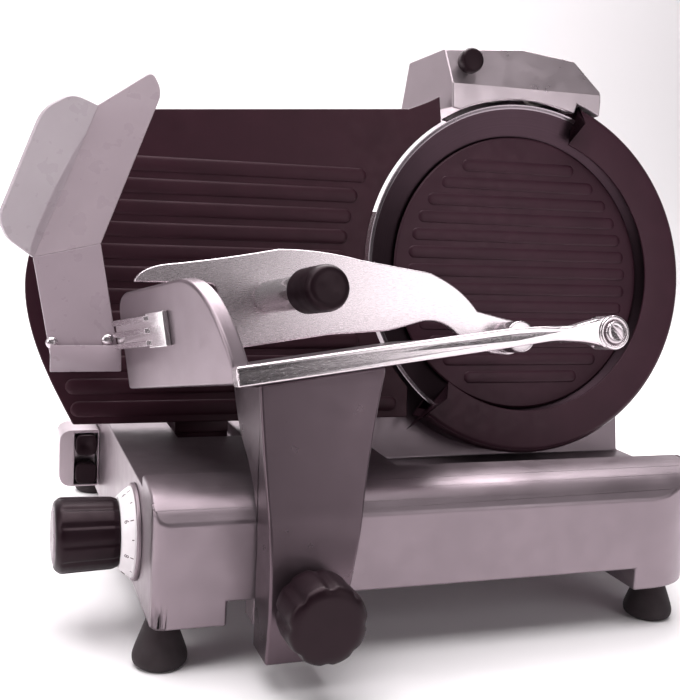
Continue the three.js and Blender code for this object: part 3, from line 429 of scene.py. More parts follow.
def boolean(target, tool, operation):
    """One exact boolean. An empty result is tried again, and after five the step is left out."""
    start = target.data.copy()
    for attempt in range(5):
        modifier = target.modifiers.new("boolean", "BOOLEAN")
        modifier.operation = operation
        modifier.solver = "EXACT"
        modifier.object = tool
        applied(target)
        if target.data.polygons:
            break
        target.data = start.copy()
    bpy.data.objects.remove(tool)
    return target


def carve(target, *tools):
    for tool in tools:
        boolean(target, tool, "DIFFERENCE")
    return target


def fuse(target, *others):
    for other in others:
        boolean(target, other, "UNION")
    return target


def overlap(target, *others):
    for other in others:
        boolean(target, other, "INTERSECT")
    return target


def soften(obj, width, segments=3, angle=35):
    """Rounds the edges as a casting's or a moulding's are."""
    weld = obj.modifiers.new("weld", "WELD")
    weld.merge_threshold = 0.00002
    bevel = obj.modifiers.new("bevel", "BEVEL")
    bevel.width = width * MM
    bevel.segments = segments
    bevel.limit_method = "ANGLE"
    bevel.angle_limit = math.radians(angle)
    bevel.use_clamp_overlap = False
    bevel.harden_normals = True
    for polygon in obj.data.polygons:
        polygon.use_smooth = True
    return obj


def joined(name, parts):
    """Several loose parts as one object, in the first one's frame."""
    first = parts[0]
    bm = bmesh.new()
    into = first.matrix_world.inverted()
    slots = []
    graph = bpy.context.evaluated_depsgraph_get()
    for part in parts:
        mesh = bpy.data.meshes.new_from_object(part.evaluated_get(graph))
        mesh.transform(into @ part.matrix_world)
        base = len(slots)
        slots.extend(mesh.materials)
        before = len(bm.faces)
        bm.from_mesh(mesh)
        bm.faces.ensure_lookup_table()
        for face in bm.faces[before:]:
            face.material_index += base
        bpy.data.meshes.remove(mesh)
    mesh = bpy.data.meshes.new(name)
    bm.to_mesh(mesh)
    bm.free()
    for material in slots:
        mesh.materials.append(material)
    made = bpy.data.objects.new(name, mesh)
    scene.collection.objects.link(made)
    made.matrix_world = first.matrix_world
    for part in parts:
        bpy.data.objects.remove(part)
    return made


def settle(piece, body, slot, *nodes):
    """Puts a finished piece on its body and hides the CAD nodes it stands for; its slot, the name of its
    finish, is not used.
    """
    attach(piece, body)
    if nodes:
        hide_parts(*nodes)
    return piece


def across_x(name, points, x0, x1, material):
    """An outline in bench (y, z), filled from x0 to x1."""
    place = BENCH @ Matrix(((0, 0, 1, 0), (1, 0, 0, 0), (0, 1, 0, 0), (0, 0, 0, 1)))
    return slab(name, points, x0, x1, place, material)


def across_y(name, points, y0, y1, material):
    """An outline in bench (x, z), filled from y0 to y1."""
    place = BENCH @ Matrix(((1, 0, 0, 0), (0, 0, -1, 0), (0, 1, 0, 0), (0, 0, 0, 1)))
    return slab(name, points, -y1, -y0, place, material)


# ---- base -----------------------------------------------------------------------------------------

LEFT = -370
RIGHT = 120
FRONT = -231
BACK = 215
SKIRT = 47
PAD = 31
DECK = 72
BLOCK_TOP = 110
BLOCK_RIGHT = -178
BEAM_TOP = 118
BEAM_BACK = -180
PEDESTAL = 165


def plan():
    return rounded([
        (LEFT, FRONT, 10), (42, FRONT, 52), (42, -172, 40), (RIGHT, -70, 50), (RIGHT, BACK, 30),
        (LEFT, BACK, 22),
    ], 12)


def beam_outline():
    return rounded([
        (FRONT, SKIRT), (FRONT, 99), (-222, 112, 9), (-203, BEAM_TOP, 10), (BEAM_BACK, BEAM_TOP, 3),
        (BEAM_BACK, SKIRT),
    ], 12)


def pedestal_outline():
    return rounded([
        (1, DECK - 6), (17.5, PEDESTAL), (190, PEDESTAL, 12), (190, DECK - 6),
    ], 8)


PADS = {
    "front_left": (LEFT, -322, FRONT, -184),
    "front_right": (-20, 40, FRONT, -176),
    "rear_left": (LEFT, -322, 168, BACK),
    "rear_right": (72, RIGHT, 168, BACK),
}


def base_casting():
    """The outside of the casting. The CAD node is a hollow shell; this piece is closed and solid."""
    shell = across_x("base_shell", beam_outline(), LEFT - 3, 60, CAST)
    fuse(
        shell,
        block("body", LEFT - 4, RIGHT + 4, FRONT + 10, BACK + 4, SKIRT + 0.5, DECK, BENCH, CAST),
        block("block", LEFT - 5, BLOCK_RIGHT, -196, BACK + 5, DECK - 9, BLOCK_TOP, BENCH, CAST),
        across_x("pedestal", pedestal_outline(), BLOCK_RIGHT - 2, 115, CAST),
        block("end_wall", LEFT - 6, LEFT + 9, FRONT - 2, BACK + 6, PAD + 1, DECK - 4, BENCH, CAST),
    )
    overlap(shell, slab("plan", plan(), 0, 200, BENCH, CAST))
    for key, (x0, x1, y0, y1) in PADS.items():
        pad = block("pad_" + key, x0, x1, y0, y1, PAD, 54, BENCH, CAST)
        fuse(shell, overlap(pad, slab("plan_pad", plan(), 0, 200, BENCH, CAST)))
    carve(
        shell,
        block("bracket_slot", -322, -270, -48, 22, BLOCK_TOP - 10, BLOCK_TOP + 2, BENCH, CAST),
        block("belt_slot", -36, 36, 44, 66, PEDESTAL - 10, PEDESTAL + 2, BENCH, CAST),
    )
    soften(shell, 1.8, 4, 32)
    return settle(shell, "base", "cast_aluminium", "base_casting")


def foot(key):
    """A moulded rubber foot: a flared bell with a flat sole."""
    low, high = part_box("foot_" + key)
    middle = (low + high) / 2
    profile = rounded([
        (0, 0), (14, 0, 1), (17.5, 2.5, 2), (18, 7, 2), (16.5, 12, 2), (9.5, 30.7),
        (4, 30.7), (4, 42), (0, 42),
    ], 5, False)
    bell = turned("foot_rubber_" + key, profile, Matrix.Translation((middle.x, middle.y, 0)), RUBBER, 64)
    return settle(bell, "base", "black_rubber", "foot_" + key)


# ---- switch and dial ------------------------------------------------------------------------------

SWITCH_LEFT = -404
SWITCH_FRONT = 60


def switch_box():
    body = across_y("switch_housing", rounded([
        (SWITCH_LEFT, 42, 12), (LEFT - 0.3, 42, 2), (LEFT - 0.3, 92, 2), (SWITCH_LEFT, 92, 12)], 10),
        SWITCH_FRONT, 98, SATIN)
    carve(body, block("well", -391.2, -371.6, SWITCH_FRONT - 2, SWITCH_FRONT + 16, 44, 89, BENCH, SATIN))
    soften(body, 0.6, 3)
    return settle(body, "base", "cast_aluminium", "switch_bezel")


def switch_button(name, low, dished):
    cap = across_y(name, rounded([(-390.4, low, 6), (-372.6, low, 6), (-372.6, low + 18, 6),
                                  (-390.4, low + 18, 6)], 8), SWITCH_FRONT - 4, SWITCH_FRONT + 8, PLASTIC)
    face = at(BENCH, -381.5, SWITCH_FRONT - 4, low + 9) @ FORWARD
    if dished:
        carve(cap, turned("dish", [(0, 1.2), (3, 0.9), (5.2, 0), (5.2, -2), (0, -2)], face, PLASTIC, 40))
    soften(cap, 1.0, 3, 40)
    return settle(cap, name, "black_plastic", name)


DIAL_Y = -154
DIAL_Z = 71
DIAL = at(BENCH, 0, DIAL_Y, DIAL_Z) @ LEFTWARD


def fluted(count, depth, low, high, sharpness=3):
    """A radius law with scallops between two heights, fading out at both ends."""
    def law(angle, radius, height):
        fade = min(1, max(0, (height - low) / 4)) * min(1, max(0, (high - height) / 4))
        wave = max(0, math.cos(count * angle)) ** sharpness
        return radius - depth * wave * fade
    return law


def divided(profile, longest):
    """The same profile with points no further apart than about the longest step."""
    dense = []
    for a, b in zip(profile, profile[1:]):
        pieces = max(1, int((b - a).length / longest))
        dense.extend(a + (b - a) * k / pieces for k in range(pieces))
    return [*dense, profile[-1]]


def dial_knob():
    profile = rounded([
        (0, -424), (22, -424, 2), (25.4, -420, 2), (24.2, -386, 1), (22.8, -382.4), (5.4, -382.4),
        (5.4, -412), (0, -412),
    ], 5, False)
    grip = turned("dial_grip", divided(profile, 3), DIAL, PLASTIC, 192, fluted(12, 0.9, -421, -381))
    raised = rounded([(0, -425.2), (17, -425, 1.5), (20.5, -423.6, 1), (20.5, -423), (0, -423)], 5, False)
    cap = turned("dial_cap", raised, DIAL, PLASTIC_CAP, 96)
    return settle(joined("dial_knob_moulded", [grip, cap]), "dial", "black_plastic", "dial_knob")


def dial_ring():
    """The graduated ring: a white cone and its rim flange; the ticks and numbers are made in dial_marks."""
    profile = rounded([(5.4, -382), (24.4, -382, 0.6), (31, -374.2, 0.8), (31, -373), (5.4, -373)], 4)
    cone = turned("dial_cone", profile, DIAL, DIAL_WHITE, 128, closed=True)
    rim = rounded([(5.4, -373), (32.4, -373, 0.6), (33, -372, 0.4), (33, -370.4), (5.4, -370.4)], 4)
    flange = turned("dial_flange", rim, DIAL, CAST_DARK, 128, closed=True)
    return settle(joined("graduated_cone", [cone, flange]), "dial", "white_plastic", "graduated_ring")


def dial_marks():
    """Ticks for every unit of thickness and a number on every second one, on the ring's rim and cone."""
    parts = []
    marks = 15
    turn = math.radians(345) / (marks - 1)
    slope = Matrix.Rotation(math.atan2(6.6, 7.8), 4, "Y")
    for i in range(marks):
        spin = DIAL @ Matrix.Rotation(math.radians(90) + i * turn, 4, "Z")
        long = 2.6 if i % 2 == 0 else 1.6
        cone = at(spin, 30.6, 0, -374.6) @ slope
        parts.append(block("tick", -0.1, 0.12, -0.3, 0.3, -long, 0, cone, INK))
        if i % 2:
            continue
        text = bpy.data.curves.new("number", "FONT")
        text.body = str(i)
        text.size = 5.0 * MM
        text.extrude = 0.12 * MM
        text.align_x = "CENTER"
        text.align_y = "CENTER"
        text.materials.append(INK)
        figure = bpy.data.objects.new("number", text)
        scene.collection.objects.link(figure)
        outward = Matrix(((0, 0, 1, 0), (1, 0, 0, 0), (0, 1, 0, 0), (0, 0, 0, 1)))
        figure.matrix_world = at(cone, z=-5.6) @ outward
        parts.append(figure)
    return settle(joined("dial_numbers", parts), "dial", "black_plastic")


# ---- gauge plate ----------------------------------------------------------------------------------

BLADE_R = 152.4


def gauge_outline():
    edge = BLADE_R + 2.2
    left = [Vector((-400, -130))]
    left += bezier((-400, -130), (-420, -92), (-437, -56), (-437, -20), 20)
    left += bezier((-437, -20), (-437, 12), (-417, 56), (-390, 104), 20)
    left += bow((-390, 104), (-381, 122), (-366, 123))
    left += [Vector((-112, 141.7))]
    left += bow((-112, 141.7), (-95, 148), (-82, 155), 8)
    return left + arc(edge, 121.5, 222, 90) + [Vector((-116, -130))]


def rib(name, x0, x1, b, half, low, high, place, material):
    """A long rounded rib with round ends, standing on a face at height low."""
    rise = high - low
    bm = bmesh.new()
    stations = []
    ends = 6
    quarter = [math.pi / 2 * k / ends for k in range(ends + 1)]
    for a in quarter:
        stations.append((x0 + half * (1 - math.cos(a)), math.sin(a)))
    for a in reversed(quarter):
        stations.append((x1 - half * (1 - math.cos(a)), math.sin(a)))
    rows = []
    steps = 10
    for x, size in stations:
        size = max(size, 0.02)
        rows.append([bm.verts.new((x * MM, (b - half * size * math.cos(math.pi * j / steps)) * MM,
                                   (low + rise * size * math.sin(math.pi * j / steps) ** 0.8) * MM))
                     for j in range(steps + 1)])
    for near, far in zip(rows, rows[1:]):
        for j in range(steps):
            bm.faces.new([near[j], near[j + 1], far[j + 1], far[j]])
        bm.faces.new([near[0], far[0], far[steps], near[steps]])
    bm.faces.new(rows[0])
    bm.faces.new(list(reversed(rows[-1])))
    return new_object(name, bm, place, [material], 60)


def gauge_plate():
    plate = slab("plate", gauge_outline(), -10, -3, BLADE, COATING)
    soften(plate, 1.0, 3, 40)
    parts = [plate]
    for i in range(12):
        b = -118 + 18 * i
        right = -math.sqrt((BLADE_R + 20) ** 2 - min(abs(b), 120) ** 2)
        left = -404 + (b - 60) * 0.5 if b > 60 else -424 + abs(b + 20) * 0.22
        parts.append(rib("rib", left, right, b, 6.4, -3.2, -1.4, BLADE, COATING))
    return settle(joined("gauge_plate_ribbed", parts), "gauge", "dark_coating", "gauge_plate")


# ---- blade, cover and ring guard ------------------------------------------------------------------

def blade_disc():
    face = [(12.5, -20.5), (122, -20.5), (144, -11), (BLADE_R, -0.5), (BLADE_R, 0), (149.9, -0.3),
            (148.7, -1.2), (127, -11.5), (119, -16.5), (12.5, -16.5)]
    disc = turned("blade_ground", rounded(face), BLADE, BLADE_FACE_PAINTED_SHADE, 256, closed=True)
    disc.data.materials.append(BLADE_EDGE)
    # The band beyond 148.5 mm takes the lighter edge copy, partly its own ground finish and partly painted
    # light; the face inside it keeps the painted near-black shade.
    bright_from = 148.5 * MM
    for polygon in disc.data.polygons:
        if Vector(polygon.center[:2]).length > bright_from:
            polygon.material_index = 1
    return settle(disc, "blade", "blade_steel", "blade")


def blade_cover():
    profile = rounded([(0, -15.6), (113, -15.6, 1), (117, -13, 1), (123.6, -12, 0.4), (124.6, -11, 0.5),
                       (123.1, -9.6, 0.7), (0, -9.6)], 5, False)
    parts = [turned("cover_disc", profile, BLADE, COVER, 200)]
    for i in range(13):
        b = -96 + 16 * i
        half = math.sqrt(112 ** 2 - b ** 2)
        parts.append(rib("rib", -half, half, b, 5.6, -9.8, -8.3, BLADE, COVER))
    return settle(joined("blade_cover_ribbed", parts), "blade_cover", "dark_coating", "blade_cover")


def ring_guard():
    profile = rounded([(126.5, 1, 0.8), (156.5, 1), (156.5, -24), (70, -24), (70, -27.7), (165, -27.7, 1.2),
                       (165, -1, 4), (161, 3.2, 2.4), (126.5, 3.2, 0.8)], 6)
    band = swept_arc("guard_band", profile, -128, 69, BLADE, COVER, 180)
    soften(band, 0.8, 2, 50)
    return settle(band, "base", "dark_coating", "ring_guard")


# ---- sharpener ------------------------------------------------------------------------------------

def sharpener_button():
    profile = rounded([
        (0, -10), (6, -10), (6, 4.6), (11, 4.6, 0.8), (11, 12.5, 2.2), (9.5, 15, 1.5), (0, 15.2),
    ], 5, False)
    knob = turned("sharpener_push", profile, at(BLADE, -57, 186), PLASTIC, 64)
    return settle(knob, "sharpener_button", "black_plastic", "sharpener_button")


def sharpening_stone(name, x):
    profile = rounded([(3.3, -22, 0.3), (16, -22, 1), (17, -14, 1), (3.3, -14, 0.3)], 4)
    stone = turned(name + "_disc", profile, at(BLADE, x, 174), STONE, 64, closed=True)
    return settle(stone, name, "stone", name)


# ---- carriage arm ---------------------------------------------------------------------------------

ARM_LEFT = -306


def arm_outline(inset=0):
    points = [Vector((-227 + inset, 230)), Vector((-227 + inset, 190))]
    points += bezier((-227 + inset, 190), (-236 + inset, 160), (-250 + inset, 130), (-262 + inset, 108))
    points += bezier((-262 + inset, 108), (-269 + inset, 92), (-272 + inset, 70), (-270 + inset, 44))
    points += [Vector((-267 + inset, 19 - inset)), Vector((-236, 19 - inset)), Vector((-236, 84))]
    points += bezier((-236, 84), (-236, 104), (-222 - inset, 122), (-196 - inset, 136))
    points += bezier((-196 - inset, 136), (-176 - inset, 147), (-158 - inset, 164), (-152 - inset, 190))
    return points + [Vector((-152 - inset, 230))]


def carriage_arm():
    # The arm casting takes the darker copy of the cast aluminium: painted shade.
    arm = across_x("arm_casting", arm_outline(), ARM_LEFT, -215, ARM)
    right = [(-260, 10)] + [tuple(p) for p in bezier((-260, 10), (-260, 70), (-233, 150), (-222, 190), 16)]
    overlap(arm, across_y("front", [(ARM_LEFT, 10), *right, (-217, 240), (ARM_LEFT, 240)], -320, -100, ARM))
    inner = across_x("arm_inner", arm_outline(5), ARM_LEFT + 5.5, -215, ARM)
    overlap(inner, across_y("inner_front", [(-302, 0), (-264.5, 0), (-264, 62), (-228, 182), (-302, 182)],
                            -320, -100, ARM))
    carve(
        arm,
        inner,
        block("open_back", -300.5, -264.5, -262, -230, 0, 100, BENCH, ARM),
        block("above_tray", -60, 320, -6.3, 90, -20, 260, TRAY, ARM),
    )
    soften(arm, 2.0, 4, 30)
    return settle(arm, "arm", "cast_aluminium", "carriage_arm")


def lock_knob():
    profile = rounded([
        (0, 0), (20, 0, 3), (24, 2.5, 2), (25, 8, 3), (25, 28, 4), (23, 35, 3), (15, 38.4, 2),
        (12, 38.8), (4, 39), (4, 59), (0, 59),
    ], 6, False)
    place = at(BENCH, -281, -312, 60) @ FORWARD
    grip = turned("lock_grip", divided(profile, 2), place, PLASTIC, 200, fluted(8, 1.6, 0, 37, 2))
    return settle(grip, "lock_knob", "black_plastic", "lock_knob")


# ---- tray -----------------------------------------------------------------------------------------

ROD_U = 271
ROD_V = -6


def tray_deck():
    def wall_foot(n):
        return 14.3 - (TRAY_NEAR - 11 - n) * math.tan(math.radians(WALL_TURN))
    place = TRAY @ Matrix(((1, 0, 0, 0), (0, 0, -1, 0), (0, 1, 0, 0), (0, 0, 0, 1)))
    outline = [(wall_foot(209), 209), (wall_foot(8), 8), (190, 8), (190, 209)]
    deck = slab("tray_deck", outline, -2, 4, place, SATIN)
    far_rim = block("far_rim", wall_foot(14), 190, -6, 2, 8, 14, TRAY, SATIN)
    right_rim = block("right_rim", 186, 190, -6, 2, 8, TRAY_NEAR - 8, TRAY, SATIN)
    fuse(deck, far_rim, right_rim)
    soften(deck, 0.8, 2, 40)
    return deck


def tray_lip():
    """The bright front lip with its groove, running out into the tapered arm of the press rod."""
    outline_points = rounded([
        (-1, -6, 1.5), (190, -6, 10), (225, -5.5, 8), (250, -10, 8),
        (ROD_U, ROD_V - 11.8), (ROD_U, ROD_V + 11.8),
        (256, 4.6, 6), (236, 2, 8), (205, 6, 10), (190, 7, 8), (-1, 7, 1.5),
    ], 8)
    lip = slab("lip", outline_points, TRAY_NEAR - 11, TRAY_NEAR + 3, TRAY, POLISHED)
    line = rounded([(-4, -0.6, 0.5), (196, -0.6, 0.5), (214, 0.4), (196, 1.6, 0.5), (-4, 1.6, 0.5)], 4)
    groove = slab("groove", line, TRAY_NEAR + 1.2, TRAY_NEAR + 6, TRAY, POLISHED)
    boss_place = at(TRAY, ROD_U, ROD_V, TRAY_NEAR)
    boss = turned("boss", rounded([(0, -18), (12, -18, 1), (12, 4, 2), (0, 4)], 6, False),
                  boss_place, POLISHED, 72)
    carve(lip, groove)
    fuse(lip, boss)
    carve(
        lip,
        turned("rod_bore", [(0, -30), (6.3, -30), (6.3, -4), (0, -4)], boss_place, STEEL, 48),
        turned("screw_bore", [(0, -8), (4.3, -8), (4.3, 2.6), (8.6, 2.6), (8.6, 8), (0, 8)],
               boss_place, STEEL, 64),
    )
    soften(lip, 1.3, 4, 32)
    return lip


def tray():
    return settle(joined("tray_sheet", [tray_deck(), tray_lip()]), "arm", "polished_aluminium", "tray")


def tray_wall():
    points = [Vector((0, -5)), Vector((170, -5)), Vector((170, 50))]
    points += bow((170, 50), (170, 66), (154, 68), 10)
    points += [Vector((66, 69))]
    points += bezier((66, 69), (34, 69), (12, 44), (0, 6), 20)
    wall = slab("wall_casting", points, 0, 13, WALL, WALL_METAL)
    soften(wall, 2.6, 5, 40)
    return settle(wall, "arm", "cast_aluminium", "tray_wall")


def guard_bracket():
    """The ribbed stainless strip on the outside of the wall."""
    strip = block("strip", 100, 172, 26, 48, -3.3, -0.3, WALL, BRIGHT)
    ribs = [block("rib", 112, 172, v, v + 4.2, -6.3, -3, WALL, STEEL) for v in (26, 34.9, 43.8)]
    face = block("face", 84, 113, 24.5, 49.5, -4.2, -0.3, WALL, BRIGHT)
    for part in (strip, face, *ribs):
        soften(part, 0.7, 3)
    return settle(joined("guard_strip", [strip, face, *ribs]), "arm", "steel", "guard_bracket")


def press_rod():
    end = TRAY_NEAR - 4.5
    profile = rounded([(0, 14), (9, 14, 1), (9, 37.7, 1), (6, 37.7), (6, end), (0, end)], 4, False)
    return settle(turned("press_rod_turned", profile, at(TRAY, ROD_U, ROD_V), BRIGHT, 64), "arm", "steel",
                  "press_rod")


def rod_screw():
    profile = rounded([(0, TRAY_NEAR - 4), (4, TRAY_NEAR - 4), (4, TRAY_NEAR + 2.9), (7.9, TRAY_NEAR + 2.9),
                       (7.9, TRAY_NEAR + 5.4, 1.5), (0, TRAY_NEAR + 6.4)], 4, False)
    head = turned("screw", profile, at(TRAY, ROD_U, ROD_V), STEEL, 56)
    slot = block("slot", -1.1, 1.1, -9, 9, TRAY_NEAR + 4.4, TRAY_NEAR + 9,
                 at(TRAY, ROD_U, ROD_V) @ Matrix.Rotation(math.radians(35), 4, "Z"), STEEL)
    carve(head, slot)
    return settle(head, "arm", "steel", "rod_screw")


# ---- hand guard -----------------------------------------------------------------------------------

def guard_panel(name, corners, material, thick=4):
    """One flat facet of the bent sheet; its corners are (x, b, n) and may be rounded."""
    points = [Vector(corner[:3]) for corner in corners]
    across = (points[1] - points[0]).normalized()
    out = across.cross(points[2] - points[0]).normalized()
    up = out.cross(across)
    origin = points[0]
    flat = []
    for point, corner in zip(points, corners):
        local = point - origin
        flat.append((local.dot(across), local.dot(up), corner[3] if len(corner) > 3 else 0))
    facet = Matrix((
        (across.x, up.x, out.x, origin.x * MM),
        (across.y, up.y, out.y, origin.y * MM),
        (across.z, up.z, out.z, origin.z * MM),
        (0, 0, 0, 1),
    ))
    panel = slab(name, rounded(flat, 10), -thick / 2, thick / 2, BLADE @ facet, material)
    soften(panel, 0.9, 3, 50)
    return panel


def hand_guard():
    fold_left = (-433, -2, 30)
    fold_right = (-383, 10, 30)
    fold_top = (-387, 114, 42)
    lower_edge = [(-418, -88, 30, 3), (-368, -85, 30, 3)]
    # Each facet takes its own tone of the acrylic: painted shade on the lower facet, painted light on the
    # flap.
    lower = guard_panel("lower", [*lower_edge, fold_right, fold_left], GUARD_LOWER)
    upper = guard_panel("upper", [fold_left, fold_right, (-338, 128, 42, 8), (-346, 143, 42, 6), fold_top],
                        GUARD_UPPER)
    flap = guard_panel("flap", [
        fold_left, fold_top, (-407, 119, 54, 9), (-428, 104, 62, 11), (-456, 22, 58, 8), (-449, 8, 50, 5),
    ], GUARD_FLAP)
    return settle(joined("hand_guard_sheet", [lower, upper, flap]), "arm", "clear_guard", "hand_guard")


def guard_screws():
    """The two pan-head screws that hold the guard to its strip."""
    heads = []
    for x, b in ((-419, -66), (-378, -64)):
        profile = rounded([(0, 0), (4.6, 0), (4.6, 1.2, 1), (2.5, 2.7, 1.2), (0, 3)], 4, False)
        heads.append(turned("screw_head", profile, at(BLADE, x, b, 32.1), STEEL, 40))
    return settle(joined("guard_screws", heads), "arm", "steel")


# ---- meat press -----------------------------------------------------------------------------------

rod_line = BLADE.inverted() @ (TRAY @ Vector((ROD_U * MM, ROD_V * MM, 0)))
ROD_X = rod_line.x / MM
ROD_B = rod_line.y / MM
PRESS_N = 60


def press_outline():
    """The plate with its ear and the round eye on the rod, as one outline."""
    points = [Vector((-362, -21))]
    points += bow((-362, -21), (-358, -8), (-330, -6))
    points += bow((-330, -6), (-290, -1), (-250, 7))
    points += bow((-250, 7), (-215, 8), (-180, 0))
    points += bow((-180, 0), (-140, -6), (-120, -9))
    points += bow((-120, -9), (-92, -20), (-78, -40))
    points += arc(15, 90, -90, 24, (ROD_X, ROD_B))
    points += [Vector((-66, -75)), Vector((-97, -59))]
    points += bow((-97, -59), (-110, -46), (-128, -49))
    points += bow((-128, -49), (-146, -54), (-160, -57))
    points += [Vector((-207, -60)), Vector((-298, -73)), Vector((-298, -30))]
    return points + bow((-298, -30), (-298, -21), (-308, -21), 6)


def press_plate():
    plate = slab("press_sheet", press_outline(), PRESS_N - 6, PRESS_N, BLADE, PRESS)
    carve(plate, turned("eye", [(0, -20), (11.8, -20), (11.8, 20), (0, 20)],
                        at(BLADE, ROD_X, ROD_B, PRESS_N), PRESS, 64))
    soften(plate, 1.2, 3, 32)
    return settle(plate, "press", "polished_aluminium", "press_plate")


def press_sleeve():
    profile = rounded([
        (6.4, -22), (13, -22, 1.5), (13, -8, 1), (11, -8), (11, 2), (13, 2, 1), (13, 24, 1.5), (6.4, 24),
    ], 4)
    place = at(BLADE, ROD_X, ROD_B, PRESS_N)
    sleeve = turned("press_sleeve_turned", profile, place, STEEL, 72, closed=True)
    return settle(sleeve, "press_carrier", "steel", "press_sleeve")


def handle():
    tube = rounded([(0, 1.6), (12.5, 1.6, 0.6), (12.5, 78, 0.8), (0, 78)], 4, False)
    spacer = turned("handle_tube", tube, HANDLE, BRIGHT, 80)
    settle(spacer, "press", "steel", "handle_spacer")
    profile = rounded([
        (0, 78.4), (15, 78.4, 1), (16.5, 80.5, 1), (16.5, 115, 2), (15, 118.8, 2), (12, 120, 2), (0, 120.3),
    ], 7, False)
    knob = turned("handle_grip", profile, HANDLE, PLASTIC, 96)
    settle(knob, "press", "black_plastic", "press_knob")


def tooth_plate():
    """The toothed strip behind the press, bent from one steel sheet; its teeth and spikes take the brighter
    polished steel as painted highlights.
    """
    outline = rounded([(-292, -30, 3), (-292, -50, 3), (-196, -38, 3), (-196, -18, 3)], 5)
    sheet = slab("tooth_strip", outline, PRESS_N - 9.5, PRESS_N - 6.3, BLADE, STEEL)
    parts = [sheet]
    for i in range(4):
        x = -286 + 28 * i
        b = -62 + 28 * i * 0.14
        # Painted highlight: the teeth and spikes take the bright steel, while the strip they are bent from
        # stays satin.
        parts.append(block("tooth", x, x + 5, b - 8, b + 30, PRESS_N - 9.5, PRESS_N - 6.3, BLADE, BRIGHT))
        parts.append(block("spike", x, x + 5, b, b + 5, PRESS_N - 16, PRESS_N - 9.4, BLADE, BRIGHT))
    for part in parts:
        soften(part, 0.7, 2)
    return settle(joined("tooth_plate_bent", parts), "press", "steel", "tooth_plate")


# ---- carried-over CAD pieces ----------------------------------------------------------------------

CARRIED = {
    "bottom_cover": (STEEL, 0.4), "guide_rod": (BRIGHT, 0.5), "rear_rail": (STEEL, 0.5),
    "cord_gland": (PLASTIC, 0.6), "control_box": (PLASTIC, 1.0), "dial_shaft": (STEEL, 0.4),
    "scroll_cam": (BRONZE, 0.4), "carriage_truck": (CAST_DARK, 1.2), "bush_left": (BRONZE, 0.3),
    "bush_right": (BRONZE, 0.3), "rail_roller": (DIAL_WHITE, 0.4), "arm_pivot_pin": (STEEL, 0.4),
    "gauge_bracket": (COATING, 0.8), "gauge_guide_rod": (BRIGHT, 0.4), "blade_spindle": (TURNED, 0.3),
    "blade_pulley": (CAST_DARK, 0.3), "cover_tie_rod": (STEEL, 0.3), "cover_knob": (PLASTIC, 0.8),
    "blade_housing": (CAST, 1.4), "front_bearing": (STEEL, 0.3), "rear_bearing": (STEEL, 0.3),
    "rear_cover": (CAST, 2.2), "drive_belt": (RUBBER, 0.3), "motor_pulley": (STEEL, 0.3),
    # guard_bar takes the lower facet's darker acrylic copy, with its painted shade.
    "motor_body": (CAST_DARK, 0.8), "slice_deflector": (POLISHED, 0.5), "guard_bar": (GUARD_LOWER, 0.8),
    "sharpener_body": (SATIN, 1.2),
}


def carry_over():
    """Gives the CAD nodes that stay their materials and soft edges; the hood keeps its flat facets."""
    for name, (material, width) in CARRIED.items():
        node = frame["nodes"][name]
        node.data.materials.clear()
        node.data.materials.append(material)
        soften(node, width, 3, 40)
    hood = frame["nodes"]["sharpener_body"]
    hood.modifiers["bevel"].harden_normals = False
    for polygon in hood.data.polygons:
        polygon.use_smooth = False


# ---- studio ---------------------------------------------------------------------------------------

def studio_floor():
    """A pale floor, with painted shade towards the front, that sweeps up into the background."""
    bm = bmesh.new()
    back = 1.6
    bend = 0.9
    rise = [(-4.5, 0), (back, 0)]
    rise += [(back + bend * math.sin(a), bend - bend * math.cos(a))
             for a in (math.radians(90) * k / 16 for k in range(1, 17))]
    rise += [(back + bend, 4.5)]
    rows = [[bm.verts.new((x, y, z)) for x in (-5, 5)] for y, z in rise]
    for near, far in zip(rows, rows[1:]):
        bm.faces.new([near[0], near[1], far[1], far[0]])
    floor = new_object("studio_sweep", bm, Matrix.Identity(4), [PAPER], 80)


def studio_light(name, place, target, size, power, color=(1, 0.985, 0.99)):
    data = bpy.data.lights.new(name, "AREA")
    data.shape = "RECTANGLE"
    data.size, data.size_y = size
    data.energy = power
    data.color = color
    lamp = bpy.data.objects.new(name, data)
    scene.collection.objects.link(lamp)
    lamp.location = place
    lamp.rotation_euler = (Vector(target) - Vector(place)).to_track_quat("-Z", "Y").to_euler()


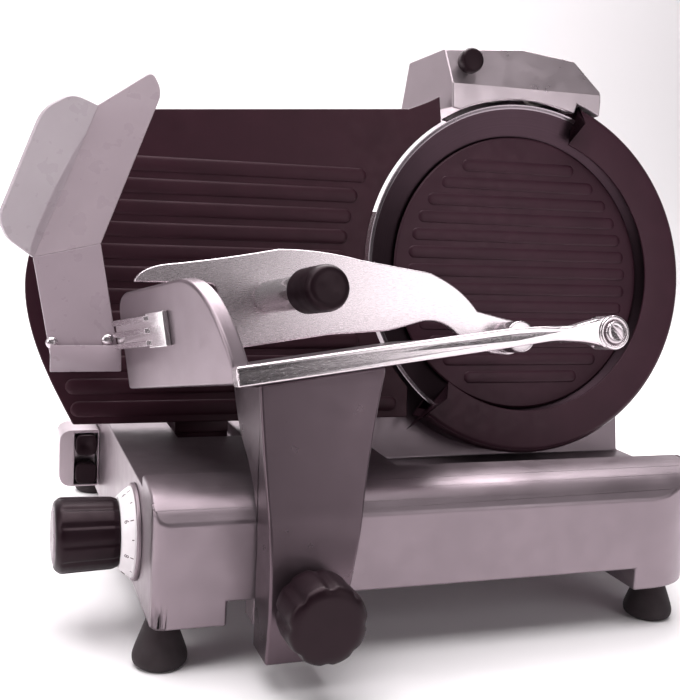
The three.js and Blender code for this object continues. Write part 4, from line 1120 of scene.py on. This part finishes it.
def studio_air():
    """Pale low down behind and overhead, dim in front and at the height of a standing person."""
    world = bpy.data.worlds.new("studio_air")
    world.use_nodes = True
    nodes = world.node_tree.nodes
    links = world.node_tree.links
    background = nodes["Background"]
    background.inputs["Strength"].default_value = 0.62
    where = nodes.new("ShaderNodeTexCoord")
    split = nodes.new("ShaderNodeSeparateXYZ")
    links.new(where.outputs["Generated"], split.inputs["Vector"])

    def ramp(stops):
        made = nodes.new("ShaderNodeValToRGB")
        links.new(split.outputs["Z"], made.inputs["Fac"])
        while len(made.color_ramp.elements) < len(stops):
            made.color_ramp.elements.new(0.5)
        for element, (position, level) in zip(made.color_ramp.elements, stops):
            element.position = position
            element.color = (level, level * 0.935, level * 0.96, 1)
        return made.outputs["Color"]

    front = ramp([(0.0, 0.20), (0.26, 0.14), (0.42, 0.06), (0.72, 0.06), (0.88, 0.55), (1.0, 0.75)])
    behind = ramp([(0.0, 0.85), (0.30, 0.85), (0.52, 0.30), (0.72, 0.10), (0.88, 0.55), (1.0, 0.75)])
    side = nodes.new("ShaderNodeMapRange")
    side.inputs["From Min"].default_value = -0.35
    side.inputs["From Max"].default_value = 0.25
    links.new(split.outputs["Y"], side.inputs["Value"])
    mix = nodes.new("ShaderNodeMix")
    mix.data_type = "RGBA"
    links.new(side.outputs["Result"], mix.inputs["Factor"])
    links.new(front, mix.inputs[6])
    links.new(behind, mix.inputs[7])
    links.new(mix.outputs[2], background.inputs["Color"])
    scene.world = world


def studio():
    studio_floor()
    studio_light("overhead", (0.35, 0.75, 1.55), (0, 0.0, 0.15), (1.3, 0.8), 30)
    studio_light("front_panel", (1.05, -2.0, 0.9), (0, 0, 0.25), (0.85, 1.3), 9)
    studio_light("left", (-1.5, -0.5, 0.9), (0, 0, 0.2), (0.5, 0.9), 8)
    studio_light("ceiling", (-0.5, -0.5, 2.4), (-0.5, -0.5, 0), (2.2, 2.0), 64)
    studio_light("sweep", (0, 0.9, 2.6), (0, 2.3, 0.9), (3.0, 0.8), 60)
    studio_air()
    scene.view_settings.view_transform = "Standard"


def studio_camera():
    """Stands a little left of the slicer and looks slightly down, with the horizon a little tilted."""
    yaw = math.radians(19.26)
    pitch = math.radians(7.16)
    roll = math.radians(2.94)
    ahead = Vector((math.sin(yaw) * math.cos(pitch), math.cos(yaw) * math.cos(pitch), -math.sin(pitch)))
    level = Vector((math.cos(yaw), -math.sin(yaw), 0))
    above = level.cross(ahead)
    side = level * math.cos(roll) + above * math.sin(roll)
    top = above * math.cos(roll) - level * math.sin(roll)
    spot = BENCH @ Vector((-477.2 * MM, -862.9 * MM, 310.4 * MM))
    data = bpy.data.cameras.new("camera")
    data.lens = 54.92
    data.shift_y = -0.0398
    camera = bpy.data.objects.new("camera", data)
    scene.collection.objects.link(camera)
    camera.matrix_world = Matrix((
        (side.x, top.x, -ahead.x, spot.x),
        (side.y, top.y, -ahead.y, spot.y),
        (side.z, top.z, -ahead.z, spot.z),
        (0, 0, 0, 1),
    ))
    scene.camera = camera


# ---- the whole slicer -----------------------------------------------------------------------------

studio_camera()
base_casting()
for corner in PADS:
    foot(corner)
switch_box()
switch_button("start_button", 70, True)
switch_button("stop_button", 45, False)
dial_knob()
dial_ring()
dial_marks()
gauge_plate()
blade_disc()
blade_cover()
ring_guard()
sharpener_button()
sharpening_stone("grinding_stone", -22)
sharpening_stone("deburring_stone", 22)
carriage_arm()
lock_knob()
tray()
tray_wall()
guard_bracket()
press_rod()
rod_screw()
hand_guard()
guard_screws()
press_plate()
press_sleeve()
handle()
tooth_plate()
carry_over()
studio()
